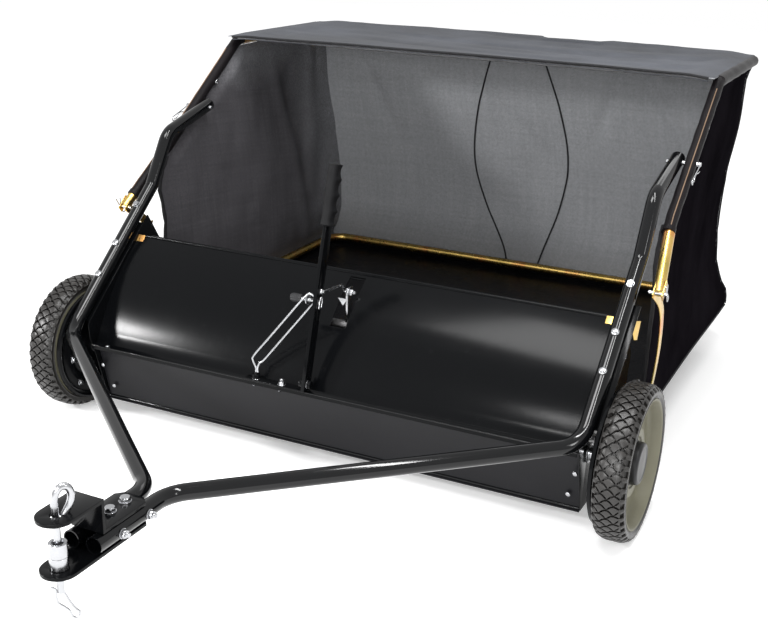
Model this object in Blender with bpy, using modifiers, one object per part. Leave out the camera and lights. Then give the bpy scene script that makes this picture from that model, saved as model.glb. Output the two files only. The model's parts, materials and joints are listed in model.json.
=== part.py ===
"""Tow-behind lawn sweeper: a 42 inch class ground-driven brush with a tipping bag hopper.

Metres, +Z up. The machine travels toward -Y, the hitch is at -Y and the hopper at +Y.
X is the machine's width, and Z = 0 is the ground under the tyres. The pieces are built with
Y = 0 at the wheel axle and moved at the end, so that the origin is under the machine's middle.
"""
import math

import bmesh
import bpy
from mathutils import Euler, Matrix, Vector

# Clearances between neighbouring pieces
SEAT = 0.0003
RUNNING = 0.0008

# Wheels and drive
TYRE_RADIUS = 0.127
TYRE_WIDTH = 0.052
WHEEL_FACE_X = 0.568
RIM_RADIUS = 0.106
RIM_WALL = 0.003
HUB_RADIUS = 0.019
AXLE_RADIUS = 0.008
GEAR_MODULE = 0.0025
RING_TEETH = 75
PINION_TEETH = 12
GEAR_WIDTH = 0.012
PINION_ANGLE = math.radians(-8.0)
WHEEL_STEPS = 36

# Brush
BRUSH_RADIUS = 0.098
BRUSH_CORE_RADIUS = 0.030
BRUSH_SHAFT_RADIUS = 0.0063
BRUSH_ROWS = 3
BRISTLE_THICKNESS = 0.014

# Housing
PLATE_FACE_X = 0.4745
SHEET = 0.002
COVER_SHEET = 0.0016
COVER_CROWN = 0.016
FLANGE_STRIP_HALF = 0.115
FLANGE_STRIP_WIDTH = 0.034
REAR_LIP_Y = 0.104
REAR_LIP_Z = 0.321
FLANGE_TOP_Z = 0.1485
FLANGE_FRONT_Y = -0.056
FLANGE_ROOT_Y = -0.040
FLANGE_LIP = 0.008
PANEL_FOOT_Y = -0.008
PANEL_FOOT_Z = 0.028

# Frame tubes
TUBE_RADIUS = 0.0127
TUBE_WALL = 0.0016
SIDE_TUBE_X = 0.4875
SIDE_BEND_Y = -0.092
SIDE_BEND_Z = 0.181
SIDE_TOP_Y = 0.164
SIDE_TOP_Z = 0.402
NOSE_X = 0.018
NOSE_END_Y = -0.651
NOSE_BEND_Y = -0.492
NOSE_Z = 0.165
TUBE_BEND = 0.060
EXTENSION_BEND = 0.045
EXTENSION_CORNER_Y = 0.226
EXTENSION_CORNER_Z = 0.500
EXTENSION_OVERHANG = 0.015

# Hopper pivot and posts
PIVOT_Y = 0.357
PIVOT_Z = 0.533
POST_X = 0.5138
POST_RADIUS = 0.0095
POST_FOOT_X = 0.530
POST_FOOT_Y = 0.136
POST_FOOT_Z = 0.364
POST_KNEE_Y = 0.250
POST_SLOPE = 0.71
HOPPER_TUBE_WALL = 0.0014
TOP_RAIL_Z = 0.652
TOP_REAR_Y = 0.868
LOWER_REAR_Y = 0.942
LOWER_FRAME_Z = 0.118
LOWER_FRONT_Y = 0.232

# Bag
BAG_HALF_WIDTH = 0.504
BAG_WALL = 0.0022
BAG_TOP_Z = 0.666
BAG_FLOOR_Z = 0.097
BAG_TOP_FRONT_Y = 0.500
BAG_TOP_REAR_Y = 0.878
BAG_REAR_FOOT_Y = 0.957
BAG_FRONT_FOOT_Y = 0.222

# Hitch
HITCH_HALF_WIDTH = 0.026
HITCH_SHEET = 0.005
PIN_Y = -0.696
PIN_RADIUS = 0.006
PIN_HOLE_RADIUS = 0.008
UPPER_NOSE_Y = -0.722
UPPER_TOP_Z = 0.227
STEP_Y = -0.635
UPPER_REAR_Y = -0.542
HITCH_BOLTS_Y = (-0.594, -0.562)
BOLT_RADIUS = 0.004
PIN_FOOT_Z = 0.112
HAIRPIN_RADIUS = 0.0015

# Height lever
LEVER_X = -0.008
LEVER_PIVOT_Y = -0.060
LEVER_PIVOT_Z = 0.166
LEVER_LEAN = math.radians(15.4)
LEVER_LENGTH = 0.271
LEVER_WIDTH = 0.022
LEVER_THICKNESS = 0.006
GRIP_LENGTH = 0.107
CLAMP_REACH = 0.143
CRANK_Y = 0.060
CRANK_Z = 0.300
CRANK_X = 0.010
STUD_X = -0.114
STUD_Y = LEVER_PIVOT_Y + 0.010
STUD_TOP_Z = FLANGE_TOP_Z + 0.0151
STRAP_GAP = 0.020
STRAP_WIRE_RADIUS = 0.0016
KNOB_STEM_RADIUS = 0.003
LINK_RADIUS = 0.0025
LINK_REACH = CLAMP_REACH + 0.018

# Brush carrier
ARM_THICKNESS = 0.004
BEARING_RADIUS = 0.010
CROSS_TUBE_RADIUS = 0.009
CROSS_Y = CRANK_Y
CROSS_Z = 0.237
HEIGHT_DOWN = math.radians(-5.0)
HEIGHT_UP = math.radians(7.0)

# Worked out from the sizes above
RING_RADIUS = GEAR_MODULE * RING_TEETH / 2.0
PINION_RADIUS = GEAR_MODULE * PINION_TEETH / 2.0
GEAR_CENTRES = RING_RADIUS - PINION_RADIUS
BRUSH_Y = GEAR_CENTRES * math.cos(PINION_ANGLE)
BRUSH_Z = TYRE_RADIUS + GEAR_CENTRES * math.sin(PINION_ANGLE)
GEAR_X = WHEEL_FACE_X - TYRE_WIDTH + 0.003 + GEAR_WIDTH / 2.0
ARM_X = PLATE_FACE_X - SHEET - SEAT - ARM_THICKNESS / 2.0
BRUSH_HALF = ARM_X - ARM_THICKNESS / 2.0 - 0.006
SIDE_SLOPE = math.atan2(SIDE_TOP_Z - SIDE_BEND_Z, SIDE_TOP_Y - SIDE_BEND_Y)
FLANGE_DROP = TUBE_RADIUS + SEAT

BLACK_GLOSS = ("black_gloss_paint", (0.012, 0.012, 0.014), 0.18, 0.0)
CHARCOAL = ("charcoal_satin_paint", (0.045, 0.045, 0.05), 0.42, 0.0)
YELLOW_ZINC = ("yellow_zinc", (0.72, 0.55, 0.24), 0.25, 1.0)
BRIGHT_ZINC = ("bright_zinc", (0.75, 0.76, 0.78), 0.28, 1.0)
STEEL = ("dark_steel", (0.35, 0.35, 0.36), 0.4, 1.0)
RUBBER = ("black_rubber", (0.02, 0.02, 0.021), 0.7, 0.0)
OLIVE_PLASTIC = ("beige_plastic", (0.36, 0.35, 0.26), 0.45, 0.0)
BLACK_PLASTIC = ("black_plastic", (0.02, 0.02, 0.02), 0.4, 0.0)
BRISTLE = ("bristle", (0.03, 0.03, 0.03), 0.8, 0.0)
BAG_FABRIC = ("bag_fabric", (0.08, 0.08, 0.09), 0.6, 0.0)

ALONG_X = (math.radians(90.0), 0.0, math.radians(90.0))
ALONG_Y = (math.radians(90.0), 0.0, 0.0)
ALONG_Z = (0.0, 0.0, 0.0)


def new_collection(name):
    collection = bpy.data.collections.new(name)
    bpy.context.scene.collection.children.link(collection)
    return collection


def clear_scene():
    for obj in list(bpy.data.objects):
        bpy.data.objects.remove(obj, do_unlink=True)


def paint(obj, finish):
    name, colour, roughness, metallic = finish
    material = bpy.data.materials.get(name)
    if material is None:
        material = bpy.data.materials.new(name)
        material.use_nodes = True
        shader = material.node_tree.nodes["Principled BSDF"]
        shader.inputs["Base Color"].default_value = (*colour, 1.0)
        shader.inputs["Roughness"].default_value = roughness
        shader.inputs["Metallic"].default_value = metallic
    obj.data.materials.clear()
    obj.data.materials.append(material)


def place(obj, finish):
    PARTS.objects.link(obj)
    paint(obj, finish)
    return obj


def curve_data(name, splines, cyclic):
    curve = bpy.data.curves.new(name, "CURVE")
    for points in splines:
        spline = curve.splines.new("POLY")
        spline.points.add(len(points) - 1)
        for slot, point in zip(spline.points, points):
            slot.co = (*point, 0.0, 1.0) if len(point) == 2 else (*point, 1.0)
        spline.use_cyclic_u = cyclic
    return curve


def plate(name, outlines, thickness, centre, turn, finish):
    """A flat piece: outlines in its own plane, holes after the rim, thickness along its normal."""
    curve = curve_data(name, outlines, True)
    curve.dimensions = "2D"
    curve.fill_mode = "BOTH"
    curve.extrude = thickness / 2.0
    obj = bpy.data.objects.new(name, curve)
    obj.location = centre
    obj.rotation_euler = turn
    return place(obj, finish)


def rod(name, points, radius, finish, resolution=4):
    """A solid rod or wire along a list of points."""
    curve = curve_data(name, [points], False)
    curve.dimensions = "3D"
    curve.bevel_depth = radius
    curve.bevel_resolution = resolution
    curve.use_fill_caps = True
    return place(bpy.data.objects.new(name, curve), finish)


def pipe(name, points, radius, wall, finish, resolution=3):
    """An open-ended tube along a list of points."""
    obj = rod(name, points, radius, finish, resolution)
    obj.data.use_fill_caps = False
    skin = obj.modifiers.new("wall", "SOLIDIFY")
    skin.thickness = wall
    skin.offset = -1.0
    return obj


def rounded(corners, radius, steps=6):
    """The corner points with each inner corner turned into an arc of the given radius."""
    corners = [Vector(corner) for corner in corners]
    points = [corners[0]]
    for before, corner, after in zip(corners, corners[1:], corners[2:]):
        inward = (corner - before).normalized()
        onward = (after - corner).normalized()
        turn = inward.angle(onward)
        reach = radius * math.tan(turn / 2.0)
        start = corner - inward * reach
        to_centre = (onward - inward * inward.dot(onward)).normalized()
        centre = start + to_centre * radius
        for step in range(steps + 1):
            angle = turn * step / steps
            points.append(centre + radius * (inward * math.sin(angle) - to_centre * math.cos(angle)))
    points.append(corners[-1])
    return points


def circle(radius, centre=(0.0, 0.0), steps=16):
    """Points of a circle in a plate's own plane."""
    return [(centre[0] + radius * math.cos(2.0 * math.pi * step / steps),
             centre[1] + radius * math.sin(2.0 * math.pi * step / steps)) for step in range(steps)]


def disc(name, radius, length, centre, turn, finish, sides=24):
    """A plain round bar or disc, centred, its axis along the plate normal of its turn."""
    bm = bmesh.new()
    bmesh.ops.create_cone(bm, cap_ends=True, segments=sides, radius1=radius, radius2=radius,
                          depth=length)
    mesh = bpy.data.meshes.new(name)
    bm.to_mesh(mesh)
    bm.free()
    obj = bpy.data.objects.new(name, mesh)
    obj.location = centre
    obj.rotation_euler = turn
    return place(obj, finish)


def turned(name, profile, centre, turn, finish, steps=32):
    """A turned piece: (radius, height) points run down its outer side, round its own Z."""
    mesh = bpy.data.meshes.new(name)
    closed = profile[0][0] > 0.0 or profile[-1][0] > 0.0
    edges = [(i, i + 1) for i in range(len(profile) - 1)]
    if closed:
        edges.append((len(profile) - 1, 0))
    mesh.from_pydata([(radius, 0.0, height) for radius, height in profile], edges, [])
    obj = bpy.data.objects.new(name, mesh)
    obj.location = centre
    obj.rotation_euler = turn
    screw = obj.modifiers.new("turn", "SCREW")
    screw.steps = steps
    screw.render_steps = steps
    screw.use_merge_vertices = True
    screw.merge_threshold = 0.00001
    return place(obj, finish)


def to_mesh(obj):
    """The object's evaluated shape as a mesh object of the same name, place and finish."""
    bpy.context.view_layer.update()
    evaluated = obj.evaluated_get(bpy.context.evaluated_depsgraph_get())
    mesh = bpy.data.meshes.new_from_object(evaluated)
    bm = bmesh.new()
    bm.from_mesh(mesh)
    bmesh.ops.remove_doubles(bm, verts=bm.verts, dist=0.00001)
    bm.to_mesh(mesh)
    bm.free()
    name = obj.name
    finish_material = obj.data.materials[0]
    matrix = obj.matrix_world.copy()
    bpy.data.objects.remove(obj, do_unlink=True)
    solid = bpy.data.objects.new(name, mesh)
    solid.matrix_world = matrix
    PARTS.objects.link(solid)
    mesh.materials.clear()
    mesh.materials.append(finish_material)
    return solid


def combine(obj, tool, operation):
    """Cut, join or intersect obj with a tool that is kept among the cutters."""
    for collection in list(tool.users_collection):
        collection.objects.unlink(tool)
    CUTTERS.objects.link(tool)
    tool.hide_render = True
    tool.display_type = "WIRE"
    modifier = obj.modifiers.new(tool.name, "BOOLEAN")
    modifier.operation = operation
    modifier.solver = "EXACT"
    modifier.object = tool
    return obj


def tilted(turn, angle):
    """A plate's turn, leaned further about the machine's X axis."""
    return (Matrix.Rotation(angle, 3, "X") @ Euler(turn).to_matrix()).to_euler()


def sides():
    """The two sides of the machine, by name and sign of X."""
    return (("left", -1.0), ("right", 1.0))


def gear_outline(teeth, pitch_radius, addendum, dedendum, phase):
    """Straight-flanked teeth with generous backlash, as points round the gear."""
    pitch = 2.0 * math.pi / teeth
    points = []
    for tooth in range(teeth):
        middle = phase + tooth * pitch
        for share, radius in ((-0.30, pitch_radius + dedendum), (-0.13, pitch_radius + addendum),
                              (0.13, pitch_radius + addendum), (0.30, pitch_radius + dedendum)):
            angle = middle + share * pitch
            points.append((radius * math.cos(angle), radius * math.sin(angle)))
    return points


def beside_tube(along, drop):
    """(y, z) at a distance along the side tube from its bend, dropped square to it."""
    y = SIDE_BEND_Y + along * math.cos(SIDE_SLOPE) + drop * math.sin(SIDE_SLOPE)
    z = SIDE_BEND_Z + along * math.sin(SIDE_SLOPE) - drop * math.cos(SIDE_SLOPE)
    return (y, z)


def cover_profile():
    """The cover's outer skin from its rear lip over the roll to the front flange."""
    chord_y = REAR_LIP_Y - FLANGE_ROOT_Y
    chord_z = REAR_LIP_Z - FLANGE_TOP_Z
    points = [(REAR_LIP_Y + 0.004, REAR_LIP_Z - 0.012)]
    for step in range(11):
        share = step / 10.0
        bulge = COVER_CROWN * math.sin(math.pi * share) ** 0.9
        across = (-chord_z, chord_y)
        length = math.hypot(chord_y, chord_z)
        y = REAR_LIP_Y - share * chord_y + across[0] / length * bulge
        z = REAR_LIP_Z - share * chord_z + across[1] / length * bulge
        points.append((y, z))
    points.append((FLANGE_FRONT_Y, FLANGE_TOP_Z))
    points.append((FLANGE_FRONT_Y, FLANGE_TOP_Z - FLANGE_LIP))
    return points


def offset_outline(points, thickness):
    """A sheet's closed outline: the skin and, at the thickness to its left, the inner side."""
    inner = []
    for index, point in enumerate(points):
        before = Vector(points[max(index - 1, 0)])
        after = Vector(points[min(index + 1, len(points) - 1)])
        here = Vector(point)
        normal = Vector((0.0, 0.0))
        for start, end in ((before, here), (here, after)):
            if (end - start).length > 0.0:
                run = (end - start).normalized()
                normal += Vector((-run.y, run.x))
        normal.normalize()
        inner.append(tuple(here + normal * thickness))
    return list(points) + inner[::-1]


def build_cover():
    """Bent sheet hood over the brush, with its front flange and a slot for the height crank."""
    outline = offset_outline(cover_profile(), COVER_SHEET)
    width = 2.0 * (PLATE_FACE_X - SHEET - SEAT)
    cover = to_mesh(plate("housing_cover", [outline], width, (0.0, 0.0, 0.0), ALONG_X,
                          BLACK_GLOSS))
    slot = disc("crank_slot", 0.5, 0.5, (0.0, 0.0, 0.0), ALONG_Z, BLACK_GLOSS, 4)
    slot.data.transform(Matrix.Rotation(math.radians(45.0), 4, "Z"))
    slot.data.transform(Matrix.Diagonal((0.030, 0.077, 0.12, 1.0)) @ Matrix.Scale(1.4142, 4))
    slot.location = (CRANK_X - 0.002, CRANK_Y, CRANK_Z - 0.02)
    return combine(cover, slot, "DIFFERENCE")


def end_plate_outline():
    """The end plate in (y, z): under the tube, round the brush's rear, down to the panel foot."""
    top_front = beside_tube(0.030, FLANGE_DROP + SHEET / 2.0)
    top_rear = beside_tube(0.285, FLANGE_DROP + SHEET / 2.0)
    return [(PANEL_FOOT_Y - 0.006, PANEL_FOOT_Z), (FLANGE_ROOT_Y - 0.010, FLANGE_TOP_Z - 0.006),
            (FLANGE_ROOT_Y - 0.018, FLANGE_TOP_Z + 0.012), top_front, top_rear,
            (0.190, 0.268), (0.226, 0.222), (0.206, 0.120), (0.180, 0.045), (0.150, PANEL_FOOT_Z)]


def build_end_plates():
    """Sheet ends with the holes for the stub axle and, as a slot, the brush shaft."""
    for name, side in sides():
        shaft_slot = []
        for swing in (HEIGHT_DOWN, HEIGHT_UP):
            angle = PINION_ANGLE + swing
            middle = (GEAR_CENTRES * math.cos(angle), TYRE_RADIUS + GEAR_CENTRES * math.sin(angle))
            start = -math.pi if swing < 0.0 else 0.0
            for step in range(7):
                turn = start + math.pi * step / 6.0
                shaft_slot.append((middle[0] + 0.0085 * math.cos(turn),
                                   middle[1] + 0.0085 * math.sin(turn)))
        axle_hole = circle(AXLE_RADIUS + RUNNING, (0.0, TYRE_RADIUS))
        x = side * (PLATE_FACE_X - SHEET / 2.0)
        solid = to_mesh(plate("end_plate_" + name, [end_plate_outline(), axle_hole, shaft_slot],
                              SHEET, (x, 0.0, 0.0), ALONG_X, BLACK_GLOSS))
        combine(solid, tube_flange(name, side), "UNION")


def tube_flange(name, side):
    """The strip turned out of an end plate, under the side tube that is bolted down on it."""
    middle = beside_tube(0.150, FLANGE_DROP + SHEET / 2.0)
    width = FLANGE_STRIP_WIDTH + SHEET
    outline = [(-FLANGE_STRIP_HALF, -width / 2.0), (FLANGE_STRIP_HALF, -width / 2.0),
               (FLANGE_STRIP_HALF, width / 2.0), (-FLANGE_STRIP_HALF, width / 2.0)]
    strip = plate("flange_" + name, [outline], SHEET,
                  (side * (PLATE_FACE_X - SHEET + width / 2.0), middle[0], middle[1]),
                  ALONG_Z, BLACK_GLOSS)
    strip.rotation_euler = tilted((0.0, 0.0, math.radians(90.0)), SIDE_SLOPE)
    return to_mesh(strip)


def build_front_panel():
    """Charcoal apron hung behind the front flange, with a turned lip at its foot."""
    top = (FLANGE_ROOT_Y + 0.0035, FLANGE_TOP_Z - COVER_SHEET - SEAT - SHEET)
    skin = [(top[0] - 0.010, top[1]), top, (PANEL_FOOT_Y, PANEL_FOOT_Z),
            (PANEL_FOOT_Y - 0.006, PANEL_FOOT_Z - 0.002)]
    outline = offset_outline(skin, SHEET)
    width = 2.0 * (PLATE_FACE_X - SHEET - SEAT)
    plate("front_panel", [outline], width, (0.0, 0.0, 0.0), ALONG_X, CHARCOAL)


def build_frame_tubes():
    """Draw tubes that turn up into the side tubes, and the extensions that carry the hopper."""
    for name, side in sides():
        lower = rounded([(side * NOSE_X, NOSE_END_Y, NOSE_Z), (side * NOSE_X, NOSE_BEND_Y, NOSE_Z),
                         (side * SIDE_TUBE_X, SIDE_BEND_Y, SIDE_BEND_Z),
                         (side * SIDE_TUBE_X, SIDE_TOP_Y, SIDE_TOP_Z)], TUBE_BEND)
        pipe("draw_tube_" + name, lower, TUBE_RADIUS, TUBE_WALL, BLACK_GLOSS)
        corner = Vector((side * SIDE_TUBE_X, EXTENSION_CORNER_Y, EXTENSION_CORNER_Z))
        pivot = Vector((side * SIDE_TUBE_X, PIVOT_Y, PIVOT_Z))
        ahead = (pivot - corner).normalized()
        start = Vector((side * SIDE_TUBE_X, SIDE_TOP_Y, SIDE_TOP_Z))
        start += Vector((0.0, math.cos(SIDE_SLOPE), math.sin(SIDE_SLOPE))) * 2.0 * SEAT
        upper = [start, start + Vector((0.0, math.cos(SIDE_SLOPE), math.sin(SIDE_SLOPE))) * 0.004]
        upper += rounded([(side * SIDE_TUBE_X, SIDE_TOP_Y + 0.008, SIDE_TOP_Z + 0.010),
                          tuple(corner), tuple(pivot + ahead * EXTENSION_OVERHANG)],
                         EXTENSION_BEND)
        pipe("extension_tube_" + name, upper, TUBE_RADIUS, TUBE_WALL, BLACK_GLOSS)
        turned("tube_cap_" + name,
               [(0.0, 0.004), (0.010, 0.0035), (TUBE_RADIUS, 0.0), (TUBE_RADIUS, -0.0005),
                (0.0, -0.0005)],
               tuple(pivot + ahead * (EXTENSION_OVERHANG + 0.0008)),
               (math.atan2(ahead.z, ahead.y) - math.radians(90.0), 0.0, 0.0), BLACK_PLASTIC, 16)


def nose_outline(front_y, rear_y):
    """A tongue in plan: half width constant, round at the front, clipped corners behind."""
    points = [(HITCH_HALF_WIDTH, rear_y - 0.010), (HITCH_HALF_WIDTH - 0.010, rear_y),
              (-HITCH_HALF_WIDTH + 0.010, rear_y), (-HITCH_HALF_WIDTH, rear_y - 0.010)]
    for step in range(13):
        angle = math.pi + math.pi * step / 12.0
        points.append((HITCH_HALF_WIDTH * math.cos(angle),
                       front_y + HITCH_HALF_WIDTH + HITCH_HALF_WIDTH * math.sin(angle)))
    return points


def bolt_holes():
    return [circle(BOLT_RADIUS + 2.0 * SEAT, (0.0, y), 12) for y in HITCH_BOLTS_Y]


def build_hitch():
    """Tongue plates above and below the draw tubes, their bolts, the hitch pin and its spacer."""
    flat_z = NOSE_Z + TUBE_RADIUS + SEAT + HITCH_SHEET / 2.0
    lower_z = NOSE_Z - TUBE_RADIUS - SEAT - HITCH_SHEET / 2.0
    top_z = UPPER_TOP_Z - HITCH_SHEET / 2.0
    pin_hole = circle(PIN_HOLE_RADIUS, (0.0, PIN_Y))
    plate("hitch_plate_lower", [nose_outline(UPPER_NOSE_Y + 0.001, UPPER_REAR_Y), pin_hole]
          + bolt_holes(), HITCH_SHEET, (0.0, 0.0, lower_z), ALONG_Z, BLACK_GLOSS)
    half = HITCH_SHEET / 2.0
    step_outline = [(UPPER_NOSE_Y - 0.01, top_z - half), (STEP_Y - HITCH_SHEET, top_z - half),
                    (STEP_Y - HITCH_SHEET, flat_z - half), (UPPER_REAR_Y + 0.01, flat_z - half),
                    (UPPER_REAR_Y + 0.01, flat_z + half), (STEP_Y, flat_z + half),
                    (STEP_Y, top_z + half), (UPPER_NOSE_Y - 0.01, top_z + half)]
    bracket = to_mesh(plate("hitch_bracket_upper", [step_outline], 4.0 * HITCH_HALF_WIDTH,
                            (0.0, 0.0, 0.0), ALONG_X, BLACK_GLOSS))
    plan = [nose_outline(UPPER_NOSE_Y, UPPER_REAR_Y), pin_hole] + bolt_holes()
    combine(bracket, to_mesh(plate("hitch_plan", plan, 0.2, (0.0, 0.0, UPPER_TOP_Z), ALONG_Z,
                                   BLACK_GLOSS)), "INTERSECT")
    for name, y in zip(("front", "rear"), HITCH_BOLTS_Y):
        top = flat_z + half + SEAT
        foot = lower_z - half - SEAT
        hexagon = 0.0072
        turned("hitch_bolt_" + name,
               [(0.0, top + 0.0055), (hexagon - 0.001, top + 0.0055), (hexagon, top + 0.0045),
                (hexagon, top), (BOLT_RADIUS, top), (BOLT_RADIUS, foot), (hexagon, foot),
                (hexagon, foot - 0.006), (BOLT_RADIUS, foot - 0.006), (BOLT_RADIUS, foot - 0.010),
                (0.0, foot - 0.010)], (0.0, y, 0.0), ALONG_Z, BRIGHT_ZINC, 12)
    sleeve_foot = lower_z + half + SEAT
    turned("hitch_spacer",
           [(PIN_RADIUS + RUNNING, sleeve_foot + 0.044), (0.0123, sleeve_foot + 0.044),
            (0.0123, sleeve_foot), (PIN_RADIUS + RUNNING, sleeve_foot)],
           (0.0, PIN_Y, 0.0), ALONG_Z, BRIGHT_ZINC, 24)
    loop_radius = 0.0155
    loop_z = UPPER_TOP_Z + 0.044
    handle = [(0.0, PIN_Y, PIN_FOOT_Z), (0.0, PIN_Y, UPPER_TOP_Z + 0.020)]
    for step in range(15):
        angle = math.radians(200.0 - 20.0 * step)
        handle.append((0.0, PIN_Y + loop_radius * (1.0 + 0.95 * math.cos(angle)),
                       loop_z + loop_radius * 1.35 * math.sin(angle)))
    rod("hitch_pin", handle, PIN_RADIUS, BRIGHT_ZINC, 3)
    clip_z = PIN_FOOT_Z + 0.012
    gap = PIN_RADIUS + HAIRPIN_RADIUS + SEAT
    clip = [(gap, PIN_Y - 0.020, clip_z)]
    clip += [(gap, PIN_Y + 0.022, clip_z - 0.006)]
    for step in range(9):
        angle = math.radians(180.0 - 22.5 * step)
        clip.append((gap * math.cos(math.pi - angle), PIN_Y + 0.024 + 0.008 * math.sin(angle),
                     clip_z - 0.006 - 0.003 * math.sin(angle)))
    clip.append((-gap, PIN_Y - 0.016, clip_z - 0.002))
    rod("hitch_hairpin", clip, HAIRPIN_RADIUS, BRIGHT_ZINC, 1)


def lever_point(reach, sideways=0.0):
    """A point on the height lever's middle line, at a distance up from its pivot."""
    return Vector((LEVER_X + sideways, LEVER_PIVOT_Y + reach * math.sin(LEVER_LEAN),
                   LEVER_PIVOT_Z + reach * math.cos(LEVER_LEAN)))


def build_height_lever():
    """Flat bar lever with a rubber grip, on an ear of the bracket bolted to the front flange."""
    half = LEVER_WIDTH / 2.0
    outline = [(-half, -0.012), (half, -0.012), (half, LEVER_LENGTH), (-half, LEVER_LENGTH)]
    holes = [circle(BOLT_RADIUS + 2.0 * SEAT, (0.0, 0.0), 12),
             circle(KNOB_STEM_RADIUS + 2.0 * SEAT, (0.0, CLAMP_REACH), 12),
             circle(LINK_RADIUS + 3.0 * SEAT, (0.0, LINK_REACH), 12)]
    lever = plate("height_lever", [outline] + holes, LEVER_THICKNESS, lever_point(0.0), ALONG_X,
                  BLACK_GLOSS)
    lever.rotation_euler = tilted(ALONG_X, -LEVER_LEAN)
    grip = [(-half - 0.0035, LEVER_LENGTH + SEAT)]
    grip += [(-half - 0.0035, LEVER_LENGTH + GRIP_LENGTH), (half, LEVER_LENGTH + GRIP_LENGTH)]
    for groove in range(4):
        for share, depth in ((0.12, 0.006), (0.5, 0.0015), (0.88, 0.006)):
            reach = LEVER_LENGTH + GRIP_LENGTH * (1.0 - (groove + share) / 4.0)
            grip.append((half + depth, reach))
    grip.append((half, LEVER_LENGTH + SEAT))
    handle = plate("lever_grip", [grip], 0.020, lever_point(0.0), ALONG_X, RUBBER)
    handle.rotation_euler = tilted(ALONG_X, -LEVER_LEAN)
    ear_x = LEVER_X - LEVER_THICKNESS / 2.0 - RUNNING
    foot = FLANGE_TOP_Z + SEAT
    bracket = [(STUD_X - 0.020, foot), (ear_x, foot), (ear_x, LEVER_PIVOT_Z + 0.010),
               (ear_x - 0.003, LEVER_PIVOT_Z + 0.010), (ear_x - 0.003, foot + 0.003),
               (STUD_X - 0.020, foot + 0.003)]
    ear = to_mesh(plate("lever_bracket", [bracket], 0.018, (0.0, LEVER_PIVOT_Y + 0.009, 0.0),
                        ALONG_Y, BLACK_GLOSS))
    pivot = turned("lever_pivot",
                   [(0.0, 0.010), (0.006, 0.010), (0.0075, 0.0090), (0.0075, 0.0038),
                    (BOLT_RADIUS, 0.0038), (BOLT_RADIUS, -0.0050), (0.0065, -0.0050),
                    (0.0065, -0.012), (0.0, -0.012)],
                   (LEVER_X, LEVER_PIVOT_Y, LEVER_PIVOT_Z), ALONG_X, BRIGHT_ZINC, 12)
    combine(ear, to_mesh(pivot), "UNION")
    stud = turned("strap_stud",
                  [(0.0, 0.0115), (BOLT_RADIUS, 0.0110), (BOLT_RADIUS, 0.0085), (0.0072, 0.0085),
                   (0.0072, -0.0010), (0.0, -0.0010)],
                  (STUD_X, STUD_Y, STUD_TOP_Z - 0.0115), ALONG_Z,
                  BRIGHT_ZINC, 12)
    combine(ear, to_mesh(stud), "UNION")


def strap_ends():
    """The slotted strap's foot at its stud and its head beside the lever's clamp bolt."""
    foot = Vector((STUD_X, STUD_Y, STUD_TOP_Z + SEAT))
    head = lever_point(CLAMP_REACH, -LEVER_THICKNESS / 2.0 - 0.013)
    return foot, head


def build_adjust_strap():
    """Slotted strap from the bracket's stud up to the lever, as a bent loop of wire."""
    foot, head = strap_ends()
    run = (head - foot).normalized()
    level = run.cross(Vector((1.0, 0.0, 0.0))).normalized()
    up = (Vector((0.0, 0.0, 1.0)) - run * run.z).normalized()
    up = (up + level if up.dot(level) > 0.0 else up - level).normalized()
    half = STRAP_GAP / 2.0
    low = foot + run * 0.012
    high = head + run * 0.004
    loop = [foot, foot + Vector((0.0, 0.0, 0.004)), low + up * half]
    for step in range(9):
        angle = math.pi / 2.0 - math.pi * step / 8.0
        loop.append(high + run * half * math.cos(angle) + up * half * math.sin(angle))
    loop.append(low - up * half + run * 0.006)
    rod("adjust_strap", loop, STRAP_WIRE_RADIUS, BRIGHT_ZINC, 2)
    turned("adjust_knob",
           [(0.0, 0.050), (0.0065, 0.049), (0.0075, 0.047), (0.0075, 0.032), (0.0055, 0.030),
            (KNOB_STEM_RADIUS, 0.030), (KNOB_STEM_RADIUS, -0.0045), (0.0, -0.0045)],
           lever_point(CLAMP_REACH), (0.0, math.radians(-90.0), 0.0), BLACK_PLASTIC, 16)


def build_link():
    """Rod from the lever back to the crank that stands up through the cover."""
    across = Vector((LEVER_THICKNESS / 2.0 + LINK_RADIUS + 0.003, 0.0, 0.0))
    front = lever_point(LINK_REACH) + across
    rear = Vector((front.x, CRANK_Y, CRANK_Z))
    crank_side = Vector((CRANK_X - rear.x + 0.005, 0.0, 0.0))
    rod("link_rod", rounded([front - across - Vector((0.0055, 0.0, 0.0)), front, rear,
                             rear + crank_side], 0.005, 3), LINK_RADIUS, BRIGHT_ZINC, 2)
    foot = CROSS_Z + CROSS_TUBE_RADIUS + SEAT
    outline = [(CROSS_Y - 0.010, foot), (CROSS_Y + 0.010, foot),
               (CRANK_Y + 0.009, CRANK_Z + 0.009), (CRANK_Y - 0.009, CRANK_Z + 0.009)]
    hole = circle(LINK_RADIUS + 0.001, (CRANK_Y, CRANK_Z), 12)
    plate("height_crank", [outline, hole], 0.004, (CRANK_X, 0.0, 0.0), ALONG_X, BRIGHT_ZINC)


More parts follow.
